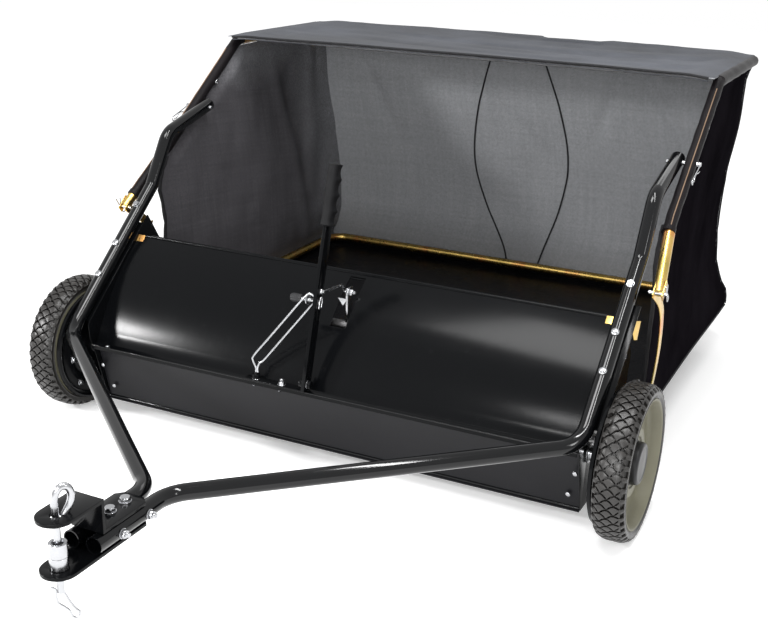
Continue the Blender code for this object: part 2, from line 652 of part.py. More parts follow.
def build_carrier():
    """The swinging brush carrier: arms inside the end plates, the cross tube and stub axles."""
    for name, side in sides():
        brush = (BRUSH_Y, BRUSH_Z)
        axle = (0.0, TYRE_RADIUS)
        cross = (CROSS_Y, CROSS_Z)
        rim = []
        for middle, radius, start, finish in ((axle, 0.020, 150.0, 250.0), (brush, 0.020, 270.0, 380.0),
                                              (cross, 0.016, 20.0, 150.0)):
            for step in range(6):
                angle = math.radians(start + (finish - start) * step / 5.0)
                rim.append((middle[0] + radius * math.cos(angle), middle[1] + radius * math.sin(angle)))
        holes = [circle(BEARING_RADIUS + SEAT, brush), circle(AXLE_RADIUS + SEAT, axle)]
        plate("height_arm_" + name, [rim] + holes, ARM_THICKNESS, (side * ARM_X, 0.0, 0.0),
              ALONG_X, STEEL)
        shoulder = -ARM_THICKNESS - SEAT
        turned("brush_bearing_" + name,
               [(BRUSH_SHAFT_RADIUS + SEAT, 0.0), (BEARING_RADIUS, 0.0),
                (BEARING_RADIUS, shoulder), (0.014, shoulder), (0.014, shoulder - 0.0025),
                (BRUSH_SHAFT_RADIUS + SEAT, shoulder - 0.0025)],
               (side * (ARM_X + ARM_THICKNESS / 2.0), BRUSH_Y, BRUSH_Z),
               (0.0, side * math.radians(90.0), 0.0), BLACK_PLASTIC, 16)
        length = WHEEL_FACE_X - 0.014 - (ARM_X - ARM_THICKNESS / 2.0)
        x = side * (ARM_X - ARM_THICKNESS / 2.0 + length / 2.0)
        disc("stub_axle_" + name, AXLE_RADIUS, length, (x, 0.0, TYRE_RADIUS), ALONG_X, STEEL, 20)
    length = 2.0 * (ARM_X - ARM_THICKNESS / 2.0 - SEAT)
    disc("height_cross_tube", CROSS_TUBE_RADIUS, length, (0.0, CROSS_Y, CROSS_Z), ALONG_X, STEEL,
         16)


def build_brush():
    """Shaft with its core and the bristle rows, staggered from one half to the other."""
    length = 2.0 * (GEAR_X + GEAR_WIDTH / 2.0)
    disc("brush_shaft", BRUSH_SHAFT_RADIUS, length, (0.0, BRUSH_Y, BRUSH_Z), ALONG_X, STEEL, 16)
    turned("brush_core",
           [(BRUSH_SHAFT_RADIUS + SEAT, BRUSH_HALF), (BRUSH_CORE_RADIUS, BRUSH_HALF),
            (BRUSH_CORE_RADIUS, -BRUSH_HALF), (BRUSH_SHAFT_RADIUS + SEAT, -BRUSH_HALF)],
           (0.0, BRUSH_Y, BRUSH_Z), (0.0, math.radians(90.0), 0.0), BLACK_PLASTIC, 16)
    depth = BRUSH_RADIUS - BRUSH_CORE_RADIUS - SEAT
    for name, side in sides():
        for row in range(BRUSH_ROWS):
            turn = 2.0 * math.pi * (row + (0.5 if side > 0.0 else 0.0)) / BRUSH_ROWS
            half = BRISTLE_THICKNESS / 2.0
            reach = BRUSH_CORE_RADIUS + SEAT
            outline = [(reach, -half * 0.6), (reach + depth, -half), (reach + depth, half),
                       (reach, half * 0.6)]
            turned_outline = [(BRUSH_Y + u * math.cos(turn) - v * math.sin(turn),
                               BRUSH_Z + u * math.sin(turn) + v * math.cos(turn))
                              for u, v in outline]
            width = BRUSH_HALF - 0.004
            x = side * (0.003 + width / 2.0)
            plate("bristle_row_" + name + "_" + str(row + 1), [turned_outline], width,
                  (x, 0.0, 0.0), ALONG_X, BRISTLE)


def build_wheels():
    """Tyres on deep plastic rims, each with an internal ring gear that drives a pinion."""
    for name, side in sides():
        outward = (0.0, side * math.radians(90.0), 0.0)
        centre = (side * (WHEEL_FACE_X - TYRE_WIDTH / 2.0), 0.0, TYRE_RADIUS)
        half = TYRE_WIDTH / 2.0
        bead = RIM_RADIUS + SEAT
        turned("tyre_" + name,
               [(bead, half - 0.003), (TYRE_RADIUS - 0.012, half), (TYRE_RADIUS - 0.004, half - 0.006),
                (TYRE_RADIUS, half - 0.016), (TYRE_RADIUS, -half + 0.016),
                (TYRE_RADIUS - 0.004, -half + 0.006), (TYRE_RADIUS - 0.012, -half),
                (bead, -half + 0.003)], centre, outward, RUBBER, WHEEL_STEPS)
        inner = RIM_RADIUS - RIM_WALL
        web_x = half - 0.020
        turned("rim_" + name,
               [(RIM_RADIUS, half - 0.002), (RIM_RADIUS, -half + 0.0005), (inner, -half + 0.0005),
                (inner, web_x - 0.006), (HUB_RADIUS + 0.010, web_x - 0.010),
                (HUB_RADIUS, web_x - 0.012), (HUB_RADIUS, -half + 0.0005 + 0.006),
                (AXLE_RADIUS + SEAT, -half + 0.0005 + 0.006), (AXLE_RADIUS + SEAT, web_x + 0.006),
                (HUB_RADIUS, web_x + 0.006), (HUB_RADIUS + 0.010, web_x - 0.006),
                (inner - 0.006, web_x - 0.003), (inner, half - 0.002)],
               centre, outward, OLIVE_PLASTIC, WHEEL_STEPS)
        turned("hub_cap_" + name,
               [(0.0, 0.009), (0.027, 0.0085), (0.034, 0.006), (0.036, SEAT), (0.0, SEAT)],
               (side * (WHEEL_FACE_X - 0.0137), 0.0, TYRE_RADIUS), outward, BLACK_PLASTIC, 24)
        addendum = 0.8 * GEAR_MODULE
        ring = gear_outline(RING_TEETH, RING_RADIUS, -addendum, 1.1 * GEAR_MODULE, 0.0)
        flat_radius = (RIM_RADIUS - RIM_WALL) * math.cos(math.pi / WHEEL_STEPS)
        rim_outline = circle(flat_radius - SEAT, (0.0, 0.0), 60)
        plate("ring_gear_" + name, [rim_outline, ring], GEAR_WIDTH,
              (side * GEAR_X, 0.0, TYRE_RADIUS), ALONG_X, BLACK_PLASTIC)
        gap_turn = math.pi / PINION_TEETH + PINION_ANGLE * (1.0 - RING_TEETH / PINION_TEETH)
        pinion = gear_outline(PINION_TEETH, PINION_RADIUS, addendum, -1.1 * GEAR_MODULE, gap_turn)
        bore = circle(BRUSH_SHAFT_RADIUS + SEAT, (0.0, 0.0), 16)
        plate("drive_pinion_" + name, [pinion, bore], GEAR_WIDTH,
              (side * GEAR_X, BRUSH_Y, BRUSH_Z), ALONG_X, STEEL)


def post_z(y):
    """Height of the hopper posts' middle line, straight through the pivot."""
    return PIVOT_Z + (y - PIVOT_Y) * POST_SLOPE


def bag_outline(inset):
    """The bag's side in (y, z), from its top front round the floor to the mouth's foot."""
    return [(BAG_TOP_FRONT_Y, BAG_TOP_Z - inset), (BAG_TOP_REAR_Y - inset, BAG_TOP_Z - inset),
            (BAG_TOP_REAR_Y + 0.012 - inset, BAG_TOP_Z - 0.020),
            (0.5 * (BAG_TOP_REAR_Y + BAG_REAR_FOOT_Y) - inset, 0.390),
            (BAG_REAR_FOOT_Y - inset, BAG_FLOOR_Z + 0.012 + inset),
            (BAG_REAR_FOOT_Y - 0.010 - inset, BAG_FLOOR_Z + inset),
            (BAG_FRONT_FOOT_Y, BAG_FLOOR_Z + inset)]


def mouth_edge():
    """The open front edge of the bag's sides, from the floor up to the posts and the top."""
    return [(BAG_FRONT_FOOT_Y, 0.300), (0.232, 0.340), (0.205, 0.385),
            (0.255, post_z(0.255) - 0.012), (BAG_TOP_FRONT_Y - 0.030, post_z(0.470) - 0.006)]


def build_bag():
    """Thin shell of two sides, back, top and floor, open at the front where the brush throws."""
    outer = bag_outline(0.0) + mouth_edge()
    bag = to_mesh(plate("hopper_bag", [outer], 2.0 * BAG_HALF_WIDTH, (0.0, 0.0, 0.0), ALONG_X,
                        BAG_FABRIC))
    reach = 0.3
    hollow = bag_outline(BAG_WALL) + [(BAG_FRONT_FOOT_Y - reach, BAG_FLOOR_Z + BAG_WALL),
                                      (BAG_TOP_FRONT_Y - reach - 0.2, BAG_TOP_Z - BAG_WALL)]
    inside = to_mesh(plate("bag_inside", [hollow], 2.0 * (BAG_HALF_WIDTH - BAG_WALL),
                           (0.0, 0.0, 0.0), ALONG_X, BAG_FABRIC))
    combine(bag, inside, "DIFFERENCE")


def build_hopper_frame():
    """Posts and rails outside the bag, cross tubes inside it, braces and pivot pins."""
    for name, side in sides():
        x = side * POST_X
        foot = (side * POST_FOOT_X, POST_FOOT_Y, POST_FOOT_Z)
        knee = (x, POST_KNEE_Y, post_z(POST_KNEE_Y))
        bend = (x, PIVOT_Y + (TOP_RAIL_Z - PIVOT_Z) / POST_SLOPE, TOP_RAIL_Z)
        rear = (x, TOP_REAR_Y, TOP_RAIL_Z)
        pipe("hopper_post_" + name, rounded([foot, knee, bend, rear], 0.045), POST_RADIUS,
             HOPPER_TUBE_WALL, YELLOW_ZINC, 2)
    inside_x = BAG_HALF_WIDTH - BAG_WALL - SEAT - POST_RADIUS
    back = BAG_WALL + SEAT + POST_RADIUS
    lower = rounded([(-inside_x, LOWER_FRONT_Y, LOWER_FRAME_Z),
                     (-inside_x, LOWER_REAR_Y - back + 0.006, LOWER_FRAME_Z),
                     (inside_x, LOWER_REAR_Y - back + 0.006, LOWER_FRAME_Z),
                     (inside_x, LOWER_FRONT_Y, LOWER_FRAME_Z)], 0.040)
    pipe("hopper_lower_frame", lower, POST_RADIUS, HOPPER_TUBE_WALL, YELLOW_ZINC, 3)
    top_y = BAG_TOP_REAR_Y - back - 0.004
    top_z = BAG_TOP_Z - back
    pipe("hopper_top_tube", [(-inside_x - POST_RADIUS, top_y, top_z),
                             (inside_x + POST_RADIUS, top_y, top_z)], POST_RADIUS,
         HOPPER_TUBE_WALL, YELLOW_ZINC, 3)
    mouth_z = BAG_TOP_Z - BAG_WALL - SEAT - 0.0035
    rod("mouth_rod", [(-inside_x - 0.006, BAG_TOP_FRONT_Y + 0.004, mouth_z),
                      (inside_x + 0.006, BAG_TOP_FRONT_Y + 0.004, mouth_z)], 0.0035, STEEL, 2)


def build_pivots():
    """Clevis pins that carry the hopper on the extension tubes' ends."""
    for name, side in sides():
        start = SIDE_TUBE_X - TUBE_RADIUS - 0.004
        end = POST_X + POST_RADIUS + 0.008
        disc("pivot_pin_" + name, 0.004, end - start, (side * (start + end) / 2.0, PIVOT_Y,
                                                      PIVOT_Z), ALONG_X, BRIGHT_ZINC, 12)


def bore_pivots():
    """Pin holes through the extension tubes and posts."""
    for name, side in sides():
        for piece, clearance in (("extension_tube_", 0.0), ("hopper_post_", 0.0)):
            solid = to_mesh(bpy.data.objects[piece + name])
            bore = disc("bore_" + piece + name, 0.004 + SEAT + clearance, 0.2,
                        (side * 0.5, PIVOT_Y, PIVOT_Z), ALONG_X, STEEL, 12)
            combine(solid, bore, "DIFFERENCE")


def build_rests():
    """Gold corner brackets at the housing's rear that the hopper posts rest on."""
    for name, side in sides():
        y, z = beside_tube(0.268, FLANGE_DROP + SHEET + SEAT)
        outline = [(0.0, 0.0), (0.030, 0.0), (0.006, -0.040), (0.0, -0.040)]
        plate("corner_bracket_" + name, [outline], 0.003,
              (side * (PLATE_FACE_X + SEAT + 0.0015), y + 0.002, z - 0.004), ALONG_X, YELLOW_ZINC)


def centre_on_ground():
    """Move every piece and cutter so that the origin is under the middle of the whole machine."""
    for piece in list(PARTS.objects) + list(CUTTERS.objects):
        piece.location.y -= (BAG_REAR_FOOT_Y + UPPER_NOSE_Y) / 2.0


clear_scene()
PARTS = new_collection("lawn_sweeper")
CUTTERS = new_collection("cutters")
build_cover()
build_end_plates()
build_front_panel()
build_frame_tubes()
build_hitch()
build_height_lever()
build_adjust_strap()
build_link()
build_carrier()
build_brush()
build_wheels()
build_bag()
build_hopper_frame()
build_pivots()
bore_pivots()
build_rests()
centre_on_ground()
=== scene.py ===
import json
import math

import bmesh
import bpy
import numpy as np
from mathutils import Matrix, Vector


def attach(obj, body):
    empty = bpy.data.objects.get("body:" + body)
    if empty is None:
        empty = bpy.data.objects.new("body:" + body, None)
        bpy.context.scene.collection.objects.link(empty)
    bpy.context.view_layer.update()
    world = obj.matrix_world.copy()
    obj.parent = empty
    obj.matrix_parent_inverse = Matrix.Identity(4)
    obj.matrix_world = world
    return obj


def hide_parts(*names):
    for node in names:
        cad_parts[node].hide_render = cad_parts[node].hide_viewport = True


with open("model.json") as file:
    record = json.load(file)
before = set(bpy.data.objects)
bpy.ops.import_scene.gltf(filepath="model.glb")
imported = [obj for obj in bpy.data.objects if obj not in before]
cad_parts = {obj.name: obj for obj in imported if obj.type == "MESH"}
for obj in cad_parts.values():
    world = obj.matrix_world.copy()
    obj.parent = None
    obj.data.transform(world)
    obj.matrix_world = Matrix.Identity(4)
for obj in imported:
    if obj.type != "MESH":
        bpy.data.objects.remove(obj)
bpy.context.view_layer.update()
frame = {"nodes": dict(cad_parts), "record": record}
print("frame loaded:", len(frame["nodes"]), "nodes")

axleY = -0.1175  # the wheel axle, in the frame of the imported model
nodes = frame["nodes"]


# shader maths
class Wire:  # one output socket, or a number, that can be added and multiplied
    def __init__(self, look, socket):
        self.look, self.socket = look, socket

    def math(self, operation, *others):
        return self.look.add("ShaderNodeMath", {"operation": operation}, self, *others)

    def __add__(self, other):
        return self.math("ADD", other)

    def __radd__(self, other):
        return self.math("ADD", other)

    def __sub__(self, other):
        return self.math("SUBTRACT", other)

    def __rsub__(self, other):
        return self.look.add("ShaderNodeMath", {"operation": "SUBTRACT"}, other, self)

    def __mul__(self, other):
        return self.math("MULTIPLY", other)

    def __rmul__(self, other):
        return self.math("MULTIPLY", other)

    def __truediv__(self, other):
        return self.math("DIVIDE", other)

    def __gt__(self, other):
        return self.math("GREATER_THAN", other)

    def __lt__(self, other):
        return self.math("LESS_THAN", other)


class Look:  # one material, with its Principled shader ready
    def __init__(self, name, **sockets):
        self.material = bpy.data.materials.new(name)
        self.material.use_nodes = True
        self.tree = self.material.node_tree
        self.shader = self.tree.nodes["Principled BSDF"]
        for socket, value in sockets.items():
            self.feed(socket.replace("_", " "), value)

    def feed(self, socket, value):
        if isinstance(value, Wire):
            self.tree.links.new(value.socket, self.shader.inputs[socket])
        else:
            self.shader.inputs[socket].default_value = value
        return self

    def add(self, kind, settings=None, *values, out=0, **named):
        node = self.tree.nodes.new(kind)
        for key, value in (settings or {}).items():
            if key == "stops":
                while len(node.color_ramp.elements) < len(value):
                    node.color_ramp.elements.new(0.5)
                for element, (place, colour) in zip(node.color_ramp.elements, value):
                    element.position = place
                    element.color = colour if len(colour) == 4 else (*colour, 1.0)
            else:
                setattr(node, key, value)
        pairs = list(enumerate(values)) + [(k.replace("_", " "), v) for k, v in named.items()]
        for key, value in pairs:
            if value is None:
                continue
            if isinstance(value, Wire):
                self.tree.links.new(value.socket, node.inputs[key])
            else:
                node.inputs[key].default_value = value
        return Wire(self, node.outputs[out])

    def place(self, kind="Object"):
        return self.add("ShaderNodeTexCoord", out=kind)

    def axes(self, vector=None):
        split = self.add("ShaderNodeSeparateXYZ", None, vector or self.place())
        outputs = split.socket.node.outputs
        return [Wire(self, outputs[i]) for i in range(3)]

    def scaled(self, x, y, z, kind="Object"):
        return self.add("ShaderNodeMapping", None, self.place(kind), None, None, (x, y, z))

    def noise(self, scale, detail=2.0, roughness=0.5, vector=None):
        return self.add("ShaderNodeTexNoise", None, Vector=vector or self.place(), Scale=scale,
                        Detail=detail, Roughness=roughness)

    def blend(self, share, first, second):
        node = self.tree.nodes.new("ShaderNodeMix")
        node.data_type = "RGBA"
        for index, value in ((0, share), (6, first), (7, second)):
            if isinstance(value, Wire):
                self.tree.links.new(value.socket, node.inputs[index])
            elif index:
                node.inputs[index].default_value = (*value, 1.0)
            else:
                node.inputs[index].default_value = value
        return Wire(self, node.outputs[2])

    def ramp(self, value, low, high):
        return self.add("ShaderNodeMapRange", None, value, low, high, 0.0, 1.0)

    def bump(self, height, strength, distance, normal=None):
        self.feed("Normal", self.add("ShaderNodeBump", None, Strength=strength,
                                     Distance=distance, Height=height, Normal=normal))
        return self


def makeBlackGloss(name, gloss, roughness):
    look = Look(name, Specular_IOR_Level=gloss)
    speck = look.noise(900.0, 2.0)
    film = look.noise(14.0, 4.0, 0.6)
    dust = look.ramp(look.noise(60.0, 5.0, 0.7), 0.60, 0.85)
    look.feed("Base Color", look.blend(dust * 0.2, (0.0020, 0.0022, 0.0026), (0.010, 0.010, 0.011)))
    look.feed("Roughness", roughness + film * 0.05 + dust * 0.06)
    return look.bump(speck * 0.35 + look.noise(120.0, 2.0) * 0.65, 0.06, 0.0006).material


def makeCharcoal():
    look = Look("charcoalSatin", Specular_IOR_Level=0.14)
    peel = look.noise(260.0, 3.0)
    cloud = look.noise(7.0, 4.0, 0.6)
    look.feed("Base Color", look.blend(cloud, (0.0050, 0.0050, 0.0060), (0.0095, 0.0095, 0.011)))
    look.feed("Roughness", 0.32 + cloud * 0.12)
    return look.bump(peel, 0.12, 0.0005).material


def makeYellowZinc():
    look = Look("yellowZincPlate", Metallic=1.0)
    drift = look.noise(16.0, 3.0, 0.6)
    tint = look.add("ShaderNodeValToRGB", {"stops": [
        (0.0, (0.22, 0.28, 0.08)), (0.36, (0.50, 0.36, 0.10)), (0.52, (0.62, 0.42, 0.13)),
        (0.66, (0.62, 0.27, 0.09)), (1.0, (0.24, 0.34, 0.14))]}, drift)
    look.feed("Base Color", tint)
    look.feed("Roughness", 0.20 + look.noise(120.0, 3.0) * 0.18)
    return look.bump(look.noise(500.0, 2.0), 0.05, 0.0004).material


def makeBrightZinc():
    look = Look("brightZincPlate", Metallic=1.0)
    mottle = look.noise(90.0, 3.0, 0.6)
    look.feed("Base Color", look.blend(mottle, (0.34, 0.345, 0.355), (0.43, 0.435, 0.45)))
    look.feed("Roughness", 0.17 + look.noise(120.0, 2.0) * 0.09)
    return look.bump(look.noise(260.0, 2.0), 0.04, 0.0003).material


def makeDarkSteel():
    look = Look("oiledSteel", Metallic=1.0)
    stain = look.noise(60.0, 5.0, 0.65)
    look.feed("Base Color", look.blend(stain, (0.16, 0.155, 0.15), (0.34, 0.34, 0.35)))
    look.feed("Roughness", 0.34 + stain * 0.2)
    return look.bump(look.noise(400.0, 3.0), 0.08, 0.0004).material


def makeTyreRubber():
    look = Look("tyreRubber", Specular_IOR_Level=0.42)
    dust = look.noise(90.0, 5.0, 0.7)
    look.feed("Base Color", look.blend(dust, (0.006, 0.0055, 0.0055), (0.022, 0.020, 0.018)))
    look.feed("Roughness", 0.26 + look.noise(40.0, 3.0) * 0.20)
    return look.bump(look.noise(520.0, 3.0), 0.25, 0.0006).material


def makeRimPlastic():
    look = Look("oliveRimPlastic", Specular_IOR_Level=0.4, Subsurface_Weight=0.0)
    cloud = look.noise(12.0, 4.0, 0.6)
    scuff = look.ramp(look.noise(70.0, 5.0, 0.75), 0.58, 0.80)
    base = look.blend(cloud, (0.118, 0.112, 0.076), (0.175, 0.168, 0.118))
    look.feed("Base Color", look.blend(scuff * 0.35, base, (0.08, 0.076, 0.055)))
    look.feed("Roughness", 0.38 + cloud * 0.16)
    return look.bump(look.noise(650.0, 2.0), 0.10, 0.0005).material


def makeBlackPlastic():
    look = Look("blackMouldedPlastic", Specular_IOR_Level=0.3)
    look.feed("Base Color", look.blend(look.noise(30.0, 4.0), (0.006, 0.006, 0.007),
                                       (0.014, 0.014, 0.015)))
    look.feed("Roughness", 0.30 + look.noise(25.0, 3.0) * 0.16)
    return look.bump(look.noise(800.0, 2.0), 0.10, 0.0005).material


def makeGripRubber():
    look = Look("softGripRubber", Specular_IOR_Level=0.12)
    rings = look.add("ShaderNodeMath", {"operation": "SINE"}, look.axes()[2] * 2100.0)
    look.feed("Base Color", look.blend(look.noise(60.0, 4.0), (0.003, 0.003, 0.0035),
                                       (0.007, 0.007, 0.0075)))
    look.feed("Roughness", 0.52 + look.noise(90.0, 3.0) * 0.2)
    return look.bump(rings * 0.25 + look.noise(700.0, 3.0), 0.2, 0.0005).material


def makeBristle():
    look = Look("bristleNylon", Specular_IOR_Level=0.4)
    strand = look.noise(1.0, 3.0, 0.6, look.scaled(1600.0, 90.0, 90.0))
    look.feed("Base Color", look.blend(strand, (0.008, 0.008, 0.009), (0.05, 0.05, 0.052)))
    look.feed("Roughness", 0.38 + strand * 0.3)
    return look.bump(strand, 0.8, 0.0012).material


def weave(look, pitchU, pitchV):  # over and under threads on the piece's own UV, in metres
    u, v = look.axes(look.place("UV"))[:2]
    wave = lambda value, pitch: look.add("ShaderNodeMath", {"operation": "SINE"},
                                         value * (2.0 * math.pi / pitch))
    return wave(u, pitchU), wave(v, pitchV)


def makeBagMesh(name, dark, pale, gap, corner=None):
    look = Look(name, Specular_IOR_Level=0.08)
    warp, weft = weave(look, 0.0022, 0.0022)
    threads = look.ramp(warp * weft, -0.7, 0.9)
    grain = look.ramp(look.noise(210.0, 2.0, 0.5), 0.36, 0.64)
    streak = look.noise(1.0, 4.0, 0.6, look.add("ShaderNodeMapping", None, look.place("UV"), None,
                                                 None, (3.5, 150.0, 1.0)))
    streakUp = look.noise(1.0, 4.0, 0.6, look.add("ShaderNodeMapping", None, look.place("UV"),
                                                   None, None, (150.0, 3.5, 1.0)))
    cloud = look.noise(5.0, 4.0, 0.55)
    tone = look.blend(look.ramp(streak + streakUp, 0.75, 1.25), dark,
                      look.blend(cloud, dark, pale))
    if corner:  # paler towards the rear seam and the top: near the rear partly the back's grey mesh wrapping round and partly painted light, at the top painted light
        y, z = look.axes()[1:]
        wander = look.noise(7.0, 4.0, 0.6) * 0.12
        rear = look.ramp(y + z * 0.25 + wander, 0.74, 0.93)
        high = look.ramp(z + wander, 0.60, 0.69) * 0.8
        tone = look.blend(rear.math("MAXIMUM", high), tone,
                          look.blend(cloud, corner[0], corner[1]))
    tone = look.blend(grain * 0.34, tone, gap)
    look.feed("Base Color", look.blend(threads, gap, tone))
    look.feed("Roughness", 0.62 + streak * 0.2)
    return look.bump(threads + streak * 0.5, 0.45, 0.0006).material


def makeVinyl(name, dark, pale, roughness, gloss):
    look = Look(name, Specular_IOR_Level=gloss)
    warp, weft = weave(look, 0.0030, 0.0030)
    grain = look.ramp(warp * weft, -0.9, 0.9)
    cloud = look.ramp(look.noise(5.0, 5.0, 0.6), 0.30, 0.68)
    crease = look.ramp(look.noise(22.0, 6.0, 0.7), 0.45, 0.7)
    look.feed("Base Color", look.blend(cloud, dark, pale))
    look.feed("Roughness", roughness + cloud * 0.16 - grain * 0.05)
    return look.bump(grain * 0.4 + crease, 0.3, 0.0006).material


def makeBinding():
    look = Look("blackBinding", Specular_IOR_Level=0.2)
    warp, weft = weave(look, 0.0016, 0.0024)
    rib = look.ramp(warp * weft, -0.6, 0.8)
    look.feed("Base Color", look.blend(rib, (0.007, 0.007, 0.008), (0.022, 0.022, 0.024)))
    look.feed("Roughness", 0.6 + rib * 0.15)
    return look.bump(rib, 0.5, 0.0005).material


blackGloss = makeBlackGloss("blackGlossCoat", 0.10, 0.135)
tubeGloss = makeBlackGloss("blackTubeCoat", 0.30, 0.050)
charcoalSatin = makeCharcoal()
yellowZinc = makeYellowZinc()
brightZinc = makeBrightZinc()
darkSteel = makeDarkSteel()
tyreRubber = makeTyreRubber()
rimPlastic = makeRimPlastic()
blackPlastic = makeBlackPlastic()
gripRubber = makeGripRubber()
bristleNylon = makeBristle()
bagMesh = makeBagMesh("greyWovenMesh", (0.34, 0.348, 0.362), (0.52, 0.530, 0.550),
                      (0.15, 0.154, 0.161))
# the inner face of the side cloth: the back's mesh painted darker as shade, turning paler towards
# the rear seam (partly the wrapping mesh, partly painted light) and at the top (painted light)
sideInnerMeshShade = makeBagMesh("innerMeshAndPaintedShade", (0.090, 0.086, 0.093), (0.190, 0.186, 0.197),
                        (0.050, 0.048, 0.053), ((0.40, 0.41, 0.43), (0.62, 0.63, 0.66)))
topVinyl = makeVinyl("greyTopVinyl", (0.022, 0.024, 0.029), (0.080, 0.085, 0.098), 0.46, 0.07)
sideVinyl = makeVinyl("blackSideVinyl", (0.0040, 0.0034, 0.0044), (0.0095, 0.0082, 0.0104),
                      0.52, 0.0)
floorVinyl = makeVinyl("blackFloorVinyl", (0.0030, 0.0030, 0.0035), (0.006, 0.006, 0.007),
                       0.22, 0.04)
sleeveVinyl = makeVinyl("brownBlackSleeve", (0.0035, 0.0028, 0.0034), (0.0075, 0.0060, 0.0070),
                        0.42, 0.12)
binding = makeBinding()
# a lighter brown strip colour: a painted highlight for the bright line along the sleeve's front
# edge
highlightStripCloth = makeVinyl("paintedHighlightStrip", (0.10, 0.060, 0.035), (0.26, 0.17, 0.11), 0.38, 0.3)
finishes = {
    "black_gloss_paint": blackGloss, "charcoal_satin_paint": charcoalSatin,
    "yellow_zinc": yellowZinc, "bright_zinc": brightZinc, "dark_steel": darkSteel,
    "black_rubber": tyreRubber, "beige_plastic": rimPlastic, "black_plastic": blackPlastic,
    "bristle": bristleNylon, "bag_fabric": sideVinyl,
}
slotOf = {row["node"]: row["material_slot"] for row in frame["record"]["subparts"]}
bodyOf = {node: body for body, held in frame["record"]["behaviour"]["bodies"].items()
          for node in held}
for nodeName, node in nodes.items():
    node.data.materials.clear()
    node.data.materials.append(finishes[slotOf[nodeName]])
print("materials made:", len(bpy.data.materials))


# modelling helpers
def clearSelection():
    if bpy.context.mode != "OBJECT":
        bpy.ops.object.mode_set(mode="OBJECT")
    bpy.ops.object.select_all(action="DESELECT")


def pickUp(piece):
    clearSelection()
    piece.select_set(True)
    bpy.context.view_layer.objects.active = piece
    return piece


def nameIt(name):
    piece = bpy.context.active_object
    piece.name = name
    piece.data.name = name
    return piece


def settle(piece, material, body, angle=35.0):
    pickUp(piece)
    bpy.ops.object.transform_apply(location=True, rotation=True, scale=True)
    bpy.ops.object.shade_smooth_by_angle(angle=math.radians(angle))
    piece.data.materials.clear()
    piece.data.materials.append(material)
    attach(piece, body)
    return piece


def fromPoints(name, points, edges, faces=()):
    mesh = bpy.data.meshes.new(name)
    mesh.from_pydata([tuple(p) for p in points], list(edges), list(faces))
    piece = bpy.data.objects.new(name, mesh)
    bpy.context.scene.collection.objects.link(piece)
    return piece


def faceOutward(piece, merge=0.0):  # every face's front side turned out, close points merged
    pickUp(piece)
    bpy.ops.object.mode_set(mode="EDIT")
    bpy.ops.mesh.select_all(action="SELECT")
    if merge:
        bpy.ops.mesh.remove_doubles(threshold=merge)
    bpy.ops.mesh.normals_make_consistent(inside=False)
    bpy.ops.object.mode_set(mode="OBJECT")


def addModifier(piece, kind, **settings):
    pickUp(piece)
    modifier = piece.modifiers.new(kind.lower(), kind)
    for key, value in settings.items():
        setattr(modifier, key, value)
    bpy.ops.object.modifier_apply(modifier=modifier.name)
    return piece


def copyOf(nodeName, pieceName, edge=0.0006, steps=2, angle=35.0):  # a CAD solid, edges eased
    mesh = nodes[nodeName].data.copy()
    piece = bpy.data.objects.new(pieceName, mesh)
    bpy.context.scene.collection.objects.link(piece)
    pickUp(piece)
    bpy.ops.object.mode_set(mode="EDIT")
    bpy.ops.mesh.select_all(action="SELECT")
    bpy.ops.mesh.remove_doubles(threshold=0.00001)
    bpy.ops.mesh.dissolve_limited(angle_limit=math.radians(0.6))
    bpy.ops.object.mode_set(mode="OBJECT")
    if edge:
        addModifier(piece, "BEVEL", width=edge, segments=steps, limit_method="ANGLE",
                    angle_limit=math.radians(angle), use_clamp_overlap=True)
    return piece


def dress(nodeName, pieceName, material, edge=0.0006, steps=2, smooth=35.0, angle=35.0):
    piece = settle(copyOf(nodeName, pieceName, edge, steps, angle), material, bodyOf[nodeName],
                   smooth)
    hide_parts(nodeName)
    return piece


def spun(name, profile, x, y, z, steps=64, side=1.0):  # (radius, along) turned about X
    points = [(x + side * along, y, z + radius) for radius, along in profile]
    piece = fromPoints(name, points, [(i, i + 1) for i in range(len(points) - 1)])
    pickUp(piece)
    bpy.ops.object.mode_set(mode="EDIT")
    bpy.ops.mesh.select_all(action="SELECT")
    bpy.ops.mesh.spin(steps=steps, angle=2.0 * math.pi, center=(x, y, z), axis=(1.0, 0.0, 0.0))
    bpy.ops.mesh.select_all(action="SELECT")
    bpy.ops.mesh.remove_doubles(threshold=0.00002)
    bpy.ops.mesh.normals_make_consistent(inside=False)
    bpy.ops.object.mode_set(mode="OBJECT")
    return piece


def bendRoute(corners, radius, steps=10):  # the corner points, each inner corner made an arc
    corners = [Vector(corner) for corner in corners]
    points = [corners[0]]
    for before, corner, after in zip(corners, corners[1:], corners[2:]):
        inward = (corner - before).normalized()
        onward = (after - corner).normalized()
        turn = inward.angle(onward)
        start = corner - inward * radius * math.tan(turn / 2.0)
        toCentre = (onward - inward * inward.dot(onward)).normalized()
        for step in range(steps + 1):
            angle = turn * step / steps
            points.append(start + toCentre * radius
                          + radius * (inward * math.sin(angle) - toCentre * math.cos(angle)))
    points.append(corners[-1])
    return points


def smoothPath(points, steps):
    points = [Vector(p) for p in points]
    smooth = []
    for i in range(len(points) - 1):
        a, b = points[max(i - 1, 0)], points[i]
        c, d = points[i + 1], points[min(i + 2, len(points) - 1)]
        for step in range(steps):
            t = step / steps
            smooth.append(0.5 * ((2 * b) + (c - a) * t + (2 * a - 5 * b + 4 * c - d) * t * t
                                 + (3 * b - a - 3 * c + d) * t**3))
    smooth.append(points[-1])
    return smooth


